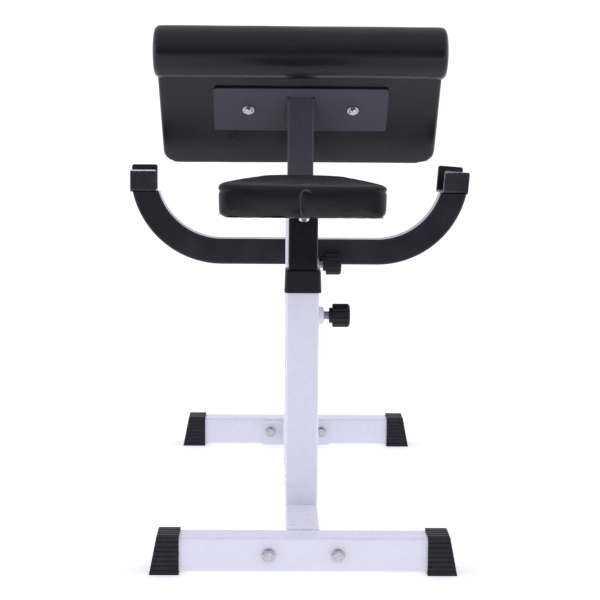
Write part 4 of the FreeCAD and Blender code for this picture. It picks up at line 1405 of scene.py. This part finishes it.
# ---------------------------------------------------------------------------- arm pad
@dataclass
class ArmPad:
    """Sloping arm pad with a roll along its top edge, on its sliding post.

    Args:
        slope: angle of the pad to the floor, in degrees.
        corner: radius of the two lower corners.
        top_radius: radius of the edge on the arm side.
        back_radius: radius of the edge on the underside.
        shrink: how much smaller the cover starts than the finished pad.
        plate: thickness of the steel plate under the pad.
        thickness: thickness of the pad, board and foam together.
        lower_end: how far down the slope the pad ends.
        sideways: how far the covers sit off the post's centre line.
        askew: how far the flat cover is turned in its own plane, in degrees.
        cover: how the flat cover is swelled.
        roll_cover: how the roll's cover is swelled.
    """

    slope: float = 45.0
    corner: float = 28 * MM
    top_radius: float = 13 * MM
    back_radius: float = 4.5 * MM
    shrink: float = 0.5 * MM
    plate: float = 4 * MM
    thickness: float = 50 * MM
    lower_end: float = 142.3 * MM
    sideways: float = -1.8 * MM
    askew: float = -0.4
    cover: Upholstery = field(default_factory=lambda: Upholstery(cap=2.5 * MM))
    roll_cover: Upholstery = field(default_factory=lambda: Upholstery(cap=1.5 * MM))

    def axes(self) -> Matrix:
        """Find the pad's own axes: X, down the slope, and away from the post.

        Returns:
            The transform from those axes to the bench.
        """
        low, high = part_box("pad_plate")
        centre = (low + high) / 2
        turn = Matrix.Rotation(math.radians(-self.slope), 4, "X")
        face = centre - turn @ Vector((0, 0, self.plate / 2))
        return Matrix.Translation(face) @ turn

    def roll_centre(self) -> Vector:
        """Centre of the roll in the pad's own axes."""
        low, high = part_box("pad_roll")
        return self.axes().inverted() @ ((low + high) / 2)

    def outline(self) -> np.ndarray:
        """Draw the plan of the pad in its own axes, with its top end inside the roll.

        Returns:
            N by 2 points, counter-clockwise.
        """
        in_roll, on_corner, on_side, on_lower, on_upper = 12 * MM, 10, 14, 16, 30
        low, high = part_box("pad_cushion")
        half = (high.x - low.x) / 2
        top = self.roll_centre().y + in_roll
        r = self.corner
        corner = arc_points((half - r, self.lower_end - r), r, 0, 90, on_corner)
        side = [(half, top + (self.lower_end - r - top) * i / on_side) for i in range(on_side)]
        lower = [((half - r) * (1 - i / on_lower), self.lower_end) for i in range(1, on_lower)]
        right = side + corner + lower
        left = [(-x, y) for x, y in reversed(right)]
        middle = [(0.0, self.lower_end)]
        upper = [(-half + 2 * half * i / on_upper, top) for i in range(1, on_upper)]
        return np.array(right + middle + left + upper)

    def flat_cover(self) -> bpy.types.Object:
        """Make the flat part of the pad, flat on its underside and rounded on the arm side.

        Returns:
            The closed rough form, in place on the bench.
        """
        outline = self.outline()
        rings = []
        for height, inset in edge_profile(self.thickness - self.shrink, self.top_radius, self.back_radius):
            ring = inset_outline(outline, inset + self.shrink)
            rings.append(np.column_stack([ring, np.full(len(ring), self.plate + height)]))
        piece = mesh_object("arm_pad_cover", *stack_of_rings(rings), BLACK_VINYL)
        hung = Matrix.Translation((self.sideways, 0, 0)) @ Matrix.Rotation(math.radians(self.askew), 4, "Z")
        piece.data.transform(self.axes() @ hung)
        tidy_normals(piece)
        return piece

    def roll_form(self) -> bpy.types.Object:
        """Make the roll: a long tube of foam whose ends bulge past a sewn seam.

        Returns:
            The closed rough form, in place on the bench.
        """
        on_corner, on_length, count = 7, 40, 64
        low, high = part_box("pad_roll")
        centre = (low + high) / 2
        half, radius = (high.x - low.x) / 2 - 0.5 * MM, (high.z - low.z) / 2 - self.shrink
        dome, corner = 3 * MM, 8 * MM
        profile = [(-half, 1 * MM), (-half + 0.25 * dome, 0.55 * radius),
                   (-half + 0.8 * dome, radius - corner)]
        profile += [(-half + dome + corner * (1 - math.cos(a)), radius - corner * (1 - math.sin(a)))
                    for a in np.linspace(0.15, math.pi / 2, on_corner)]
        one_end = list(profile)
        straight = half - dome - corner
        profile += [(-straight + 2 * straight * i / on_length, radius) for i in range(1, on_length)]
        profile += [(-x, r) for x, r in reversed(one_end)]
        rings = []
        for x, r in profile:
            angles = np.linspace(0, 2 * math.pi, count, endpoint=False)
            rings.append(np.column_stack([np.full(count, centre.x + self.sideways + x),
                                          centre.y + r * np.cos(angles),
                                          centre.z + r * np.sin(angles)]))
        piece = mesh_object("arm_pad_roll", *stack_of_rings(rings), BLACK_VINYL)
        tidy_normals(piece)
        return piece

    def crease_roll(self, piece: bpy.types.Object) -> None:
        """Sink the end seams, and add the slow dents of a hand-pulled cover.

        Args:
            piece: the swollen roll, changed in place.
        """
        from_end, seam_width, depth = 7 * MM, 1.6 * MM, 0.5 * MM
        dent_size, dent_seed, drawn_out = 32 * MM, 1.7, np.array([0.35, 1.0, 1.0])
        low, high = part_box("pad_roll")
        centre = (low + high) / 2
        half = (high.x - low.x) / 2
        points = points_of(piece)
        radial = points[:, 1:] - np.array([centre.y, centre.z])
        out = radial / np.maximum(np.linalg.norm(radial, axis=1, keepdims=True), MERGE_WITHIN)
        seam = bump_at(np.abs(points[:, 0] - centre.x - self.sideways), half - from_end, seam_width)
        slow = soft_noise(points * drawn_out, dent_size, dent_seed)
        points[:, 1:] -= out * (depth * seam - depth * slow)[:, None]
        set_points(piece, points)

    def build(self, nodes: dict) -> None:
        """Make both covers and dress the post, plate and fasteners.

        Args:
            nodes: the CAD nodes by name.
        """
        held_to, roll_reach, dents, dent_size, dent_seed = 5 * MM, 40 * MM, 0.5 * MM, 55 * MM, 5.3
        to_pad = self.axes().inverted()
        flat = self.flat_cover()
        self.cover.remesh(flat)
        turned = points_of(flat) @ np.array(to_pad.to_3x3()).T + np.array(to_pad.translation)
        on_back = np.clip((self.plate + held_to - turned[:, 2]) / (3 * MM), 0, 1)
        in_roll = np.clip((self.roll_centre().y + roll_reach - turned[:, 1]) / (10 * MM), 0, 1)
        self.cover.puff(flat, np.maximum(on_back, in_roll))
        self.cover.subdivide(flat)
        points = points_of(flat)
        points += dents * soft_noise(points, dent_size, dent_seed)[:, None] * np.array([0.0, 0.7, 0.7])
        set_points(flat, points)
        shade_smooth(flat)
        finish_piece(flat, Body.PAD, BLACK_VINYL, "pad_cushion", "pad_backing")
        roll = self.roll_form()
        self.roll_cover.remesh(roll)
        self.roll_cover.puff(roll, np.zeros(len(roll.data.vertices)))
        self.roll_cover.subdivide(roll)
        self.crease_roll(roll)
        shade_smooth(roll)
        finish_piece(roll, Body.PAD, BLACK_VINYL, "pad_roll")
        dress_nodes(nodes, {"pad_post": PAD_POST_PAINT, "pad_plate": PLATE_PAINT,
                            "pad_post_plug": BLACK_PLASTIC, "pad_backing": BACKING_CLOTH,
                            "pad_board": PLYWOOD, "pad_tee_nuts": BRIGHT_ZINC,
                            "pad_washers": BRIGHT_ZINC, "pad_bolts": BRIGHT_ZINC})
        self.weld()

    def weld(self) -> None:
        """Lay the beads down both sides of the post where it meets the plate."""
        low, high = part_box("pad_post")
        reach = (high.y - low.y) / 2 * math.sqrt(2) - 2 * MM
        axes = self.axes()
        lines = [(axes @ Vector((x, -reach, 0)), axes @ Vector((x, reach, 0))) for x in (low.x, high.x)]
        ripples = PathRepeat(Repeat.WELD_RIPPLE, RIPPLE_PITCH, (4.4 * MM, 6.5 * MM, 5.5 * MM), seed=5)
        beads = ripples.build("pad_weld_beads", lines, BLACK_PAINT)
        finish_piece(beads, Body.PAD, BLACK_PAINT, "pad_welds")


# ---------------------------------------------------------------------------- locking screws
@dataclass
class LockingScrew:
    """Fluted knob on a threaded stud.

    Args:
        post: "seat" or "pad".
        body: the body that the stud moves with.
        pitch: thread pitch.
        depth: thread depth.
        around: points round the thread.
        along: points along one pitch.
    """

    post: str
    body: Body
    pitch: float = 2 * MM
    depth: float = 1.1 * MM
    around: int = 40
    along: int = 8

    def thread(self) -> bpy.types.Object:
        """Cut one helical thread along the whole stud.

        Returns:
            The closed thread.
        """
        low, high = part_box(f"{self.post}_lock_stud")
        y, z = (low.y + high.y) / 2, (low.z + high.z) / 2
        crest = (high.z - low.z) / 2
        length = high.x - low.x
        steps = int(length / self.pitch * self.along)
        rings = []
        for step in range(steps + 1):
            x = length * step / steps
            ring = []
            for i in range(self.around):
                turn = i / self.around
                phase = (x / self.pitch - turn) % 1.0
                groove = min(1.0, max(0.0, 1.6 * abs(2 * phase - 1) - 0.3))
                runout = min(1.0, x / self.pitch, (length - x) / self.pitch)
                radius = crest - self.depth * (1 - groove * runout)
                angle = 2 * math.pi * turn
                ring.append((low.x + x, y + radius * math.cos(angle), z + radius * math.sin(angle)))
            rings.append(np.array(ring))
        piece = mesh_object(f"{self.post}_lock_thread", *stack_of_rings(rings), BRIGHT_ZINC)
        tidy_normals(piece)
        return piece

    def build(self, nodes: dict) -> None:
        """Stand the thread in for the stud, and dress the knob."""
        finish_piece(self.thread(), self.body, BRIGHT_ZINC, f"{self.post}_lock_stud")
        dress_node(nodes[f"{self.post}_lock_knob"], BLACK_PLASTIC)


# ---------------------------------------------------------------------------- studio
@dataclass
class Studio:
    """Pale floor, soft light and the camera.

    Args:
        eye: the camera's place.
        yaw: degrees that it looks to the right of +Y.
        pitch: degrees that it looks down.
        roll: degrees that it leans.
        lens: focal length on a 36 mm sensor.
        floor_half: half the side of the floor.
        dark_side: brightness of the room on the user's side.
        white_side: brightness of the backdrop beyond the bench.
        side_boxes: how much brighter the two sides are.
        zenith: brightness of the ceiling.
        backdrop: brightness of the backdrop as the camera sees it.
        sun_strength: strength of the overhead light.
        sun_spread: how wide it is, in degrees.
        sun_tilt: how far it leans towards the user, in degrees.
        cool: colour of all the light, sRGB.
    """

    eye: tuple[float, float, float] = (-0.0432, -2.8736, 0.679)
    yaw: float = 0.854
    pitch: float = 6.70
    roll: float = 0.43
    lens: float = 102.2
    floor_half: float = 3.2
    dark_side: float = 0.2
    white_side: float = 1.05
    side_boxes: float = 0.9
    zenith: float = 0.45
    backdrop: float = 1.1
    sun_strength: float = 1.15
    sun_spread: float = 120.0
    sun_tilt: float = 20.0
    cool: str = "#f1edff"

    def build(self) -> None:
        """Make the floor, the sky, the lights and the camera."""
        self.floor()
        self.world()
        self.overhead()
        self.camera()

    def floor(self) -> None:
        """Lay a floor that runs past the horizon."""
        h = self.floor_half
        corners = [(-h, -h, 0), (h, -h, 0), (h, h, 0), (-h, h, 0)]
        mesh_object("studio_floor", corners, [(0, 1, 2, 3)], FLOOR_PAINT)

    def world(self) -> None:
        """Light a white backdrop beyond the bench, a dark room behind the user and a pale ceiling."""
        world = bpy.data.worlds.new("light_tent")
        bpy.context.scene.world = world
        world.use_nodes = True
        tree = world.node_tree
        tree.nodes.clear()
        towards = add_node(tree, "ShaderNodeTexCoord")
        parts = add_node(tree, "ShaderNodeSeparateXYZ", inputs={0: towards.outputs["Generated"]})
        sides = add_node(tree, "ShaderNodeMapRange", {"interpolation_type": "SMOOTHSTEP"}, {
            "Value": parts.outputs["Y"], "From Min": -0.35, "From Max": 0.6,
            "To Min": self.dark_side, "To Max": self.white_side})
        up = add_node(tree, "ShaderNodeMapRange", {"interpolation_type": "SMOOTHSTEP"}, {
            "Value": parts.outputs["Z"], "From Min": 0.25, "From Max": 0.9})
        sideways = add_node(tree, "ShaderNodeMath", {"operation": "ABSOLUTE"}, {0: parts.outputs["X"]})
        boxes = add_node(tree, "ShaderNodeMapRange", {"interpolation_type": "SMOOTHSTEP"}, {
            "Value": sideways.outputs[0], "From Min": 0.62, "From Max": 0.9, "To Max": self.side_boxes})
        around = add_node(tree, "ShaderNodeMath", {"operation": "ADD"}, {
            0: sides.outputs[0], 1: boxes.outputs[0]})
        surround = add_node(tree, "ShaderNodeMix", {"data_type": "FLOAT"}, {
            0: up.outputs[0], 2: around.outputs[0], 3: self.zenith})
        seen = add_node(tree, "ShaderNodeLightPath")
        strength = add_node(tree, "ShaderNodeMix", {"data_type": "FLOAT"}, {
            0: seen.outputs["Is Camera Ray"], 2: surround.outputs[0], 3: self.backdrop})
        tint = add_node(tree, "ShaderNodeMix", {"data_type": "RGBA"}, {
            0: seen.outputs["Is Camera Ray"], 6: linear(self.cool), 7: (1.0, 1.0, 1.0, 1.0)})
        sky = add_node(tree, "ShaderNodeBackground", inputs={
            "Color": tint.outputs[2], "Strength": strength.outputs[0]})
        add_node(tree, "ShaderNodeOutputWorld", inputs={"Surface": sky.outputs[0]})
        bpy.context.scene.view_settings.view_transform = "Standard"

    def overhead(self) -> None:
        """Hang one broad soft light overhead, a little towards the user."""
        lamp = bpy.data.lights.new("overhead_softbox", "SUN")
        lamp.energy = self.sun_strength
        lamp.color = linear(self.cool)[:3]
        lamp.angle = math.radians(self.sun_spread)
        stand = bpy.data.objects.new("overhead_softbox", lamp)
        stand.matrix_world = Matrix.Rotation(math.radians(self.sun_tilt), 4, "X")
        bpy.context.scene.collection.objects.link(stand)

    def camera(self) -> None:
        """Set up the camera as someone standing behind the seat would."""
        data = bpy.data.cameras.new("studio_camera")
        data.sensor_width = 36.0
        data.lens = self.lens
        camera = bpy.data.objects.new("studio_camera", data)
        yaw, pitch, roll = (math.radians(a) for a in (self.yaw, self.pitch, self.roll))
        look = (Matrix.Rotation(-yaw, 4, "Z") @ Matrix.Rotation(math.pi / 2 - pitch, 4, "X")
                @ Matrix.Rotation(roll, 4, "Z"))
        camera.matrix_world = Matrix.Translation(Vector(self.eye)) @ look
        bpy.context.scene.collection.objects.link(camera)
        bpy.context.scene.camera = camera


# ---------------------------------------------------------------------------- the whole bench
def main() -> None:
    """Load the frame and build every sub-assembly in order."""
    logging.basicConfig(level=logging.INFO, format="%(name)s %(message)s")
    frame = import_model()
    nodes = frame["nodes"]
    Studio().build()
    steel = SteelFrame()
    steel.dress(nodes)
    steel.turn_right_hook(nodes)
    steel.weld()
    Seat().build(nodes)
    ArmPad().build(nodes)
    LockingScrew("seat", Body.SEAT_STUD).build(nodes)
    LockingScrew("pad", Body.PAD_STUD).build(nodes)


if __name__ == "__main__":
    main()
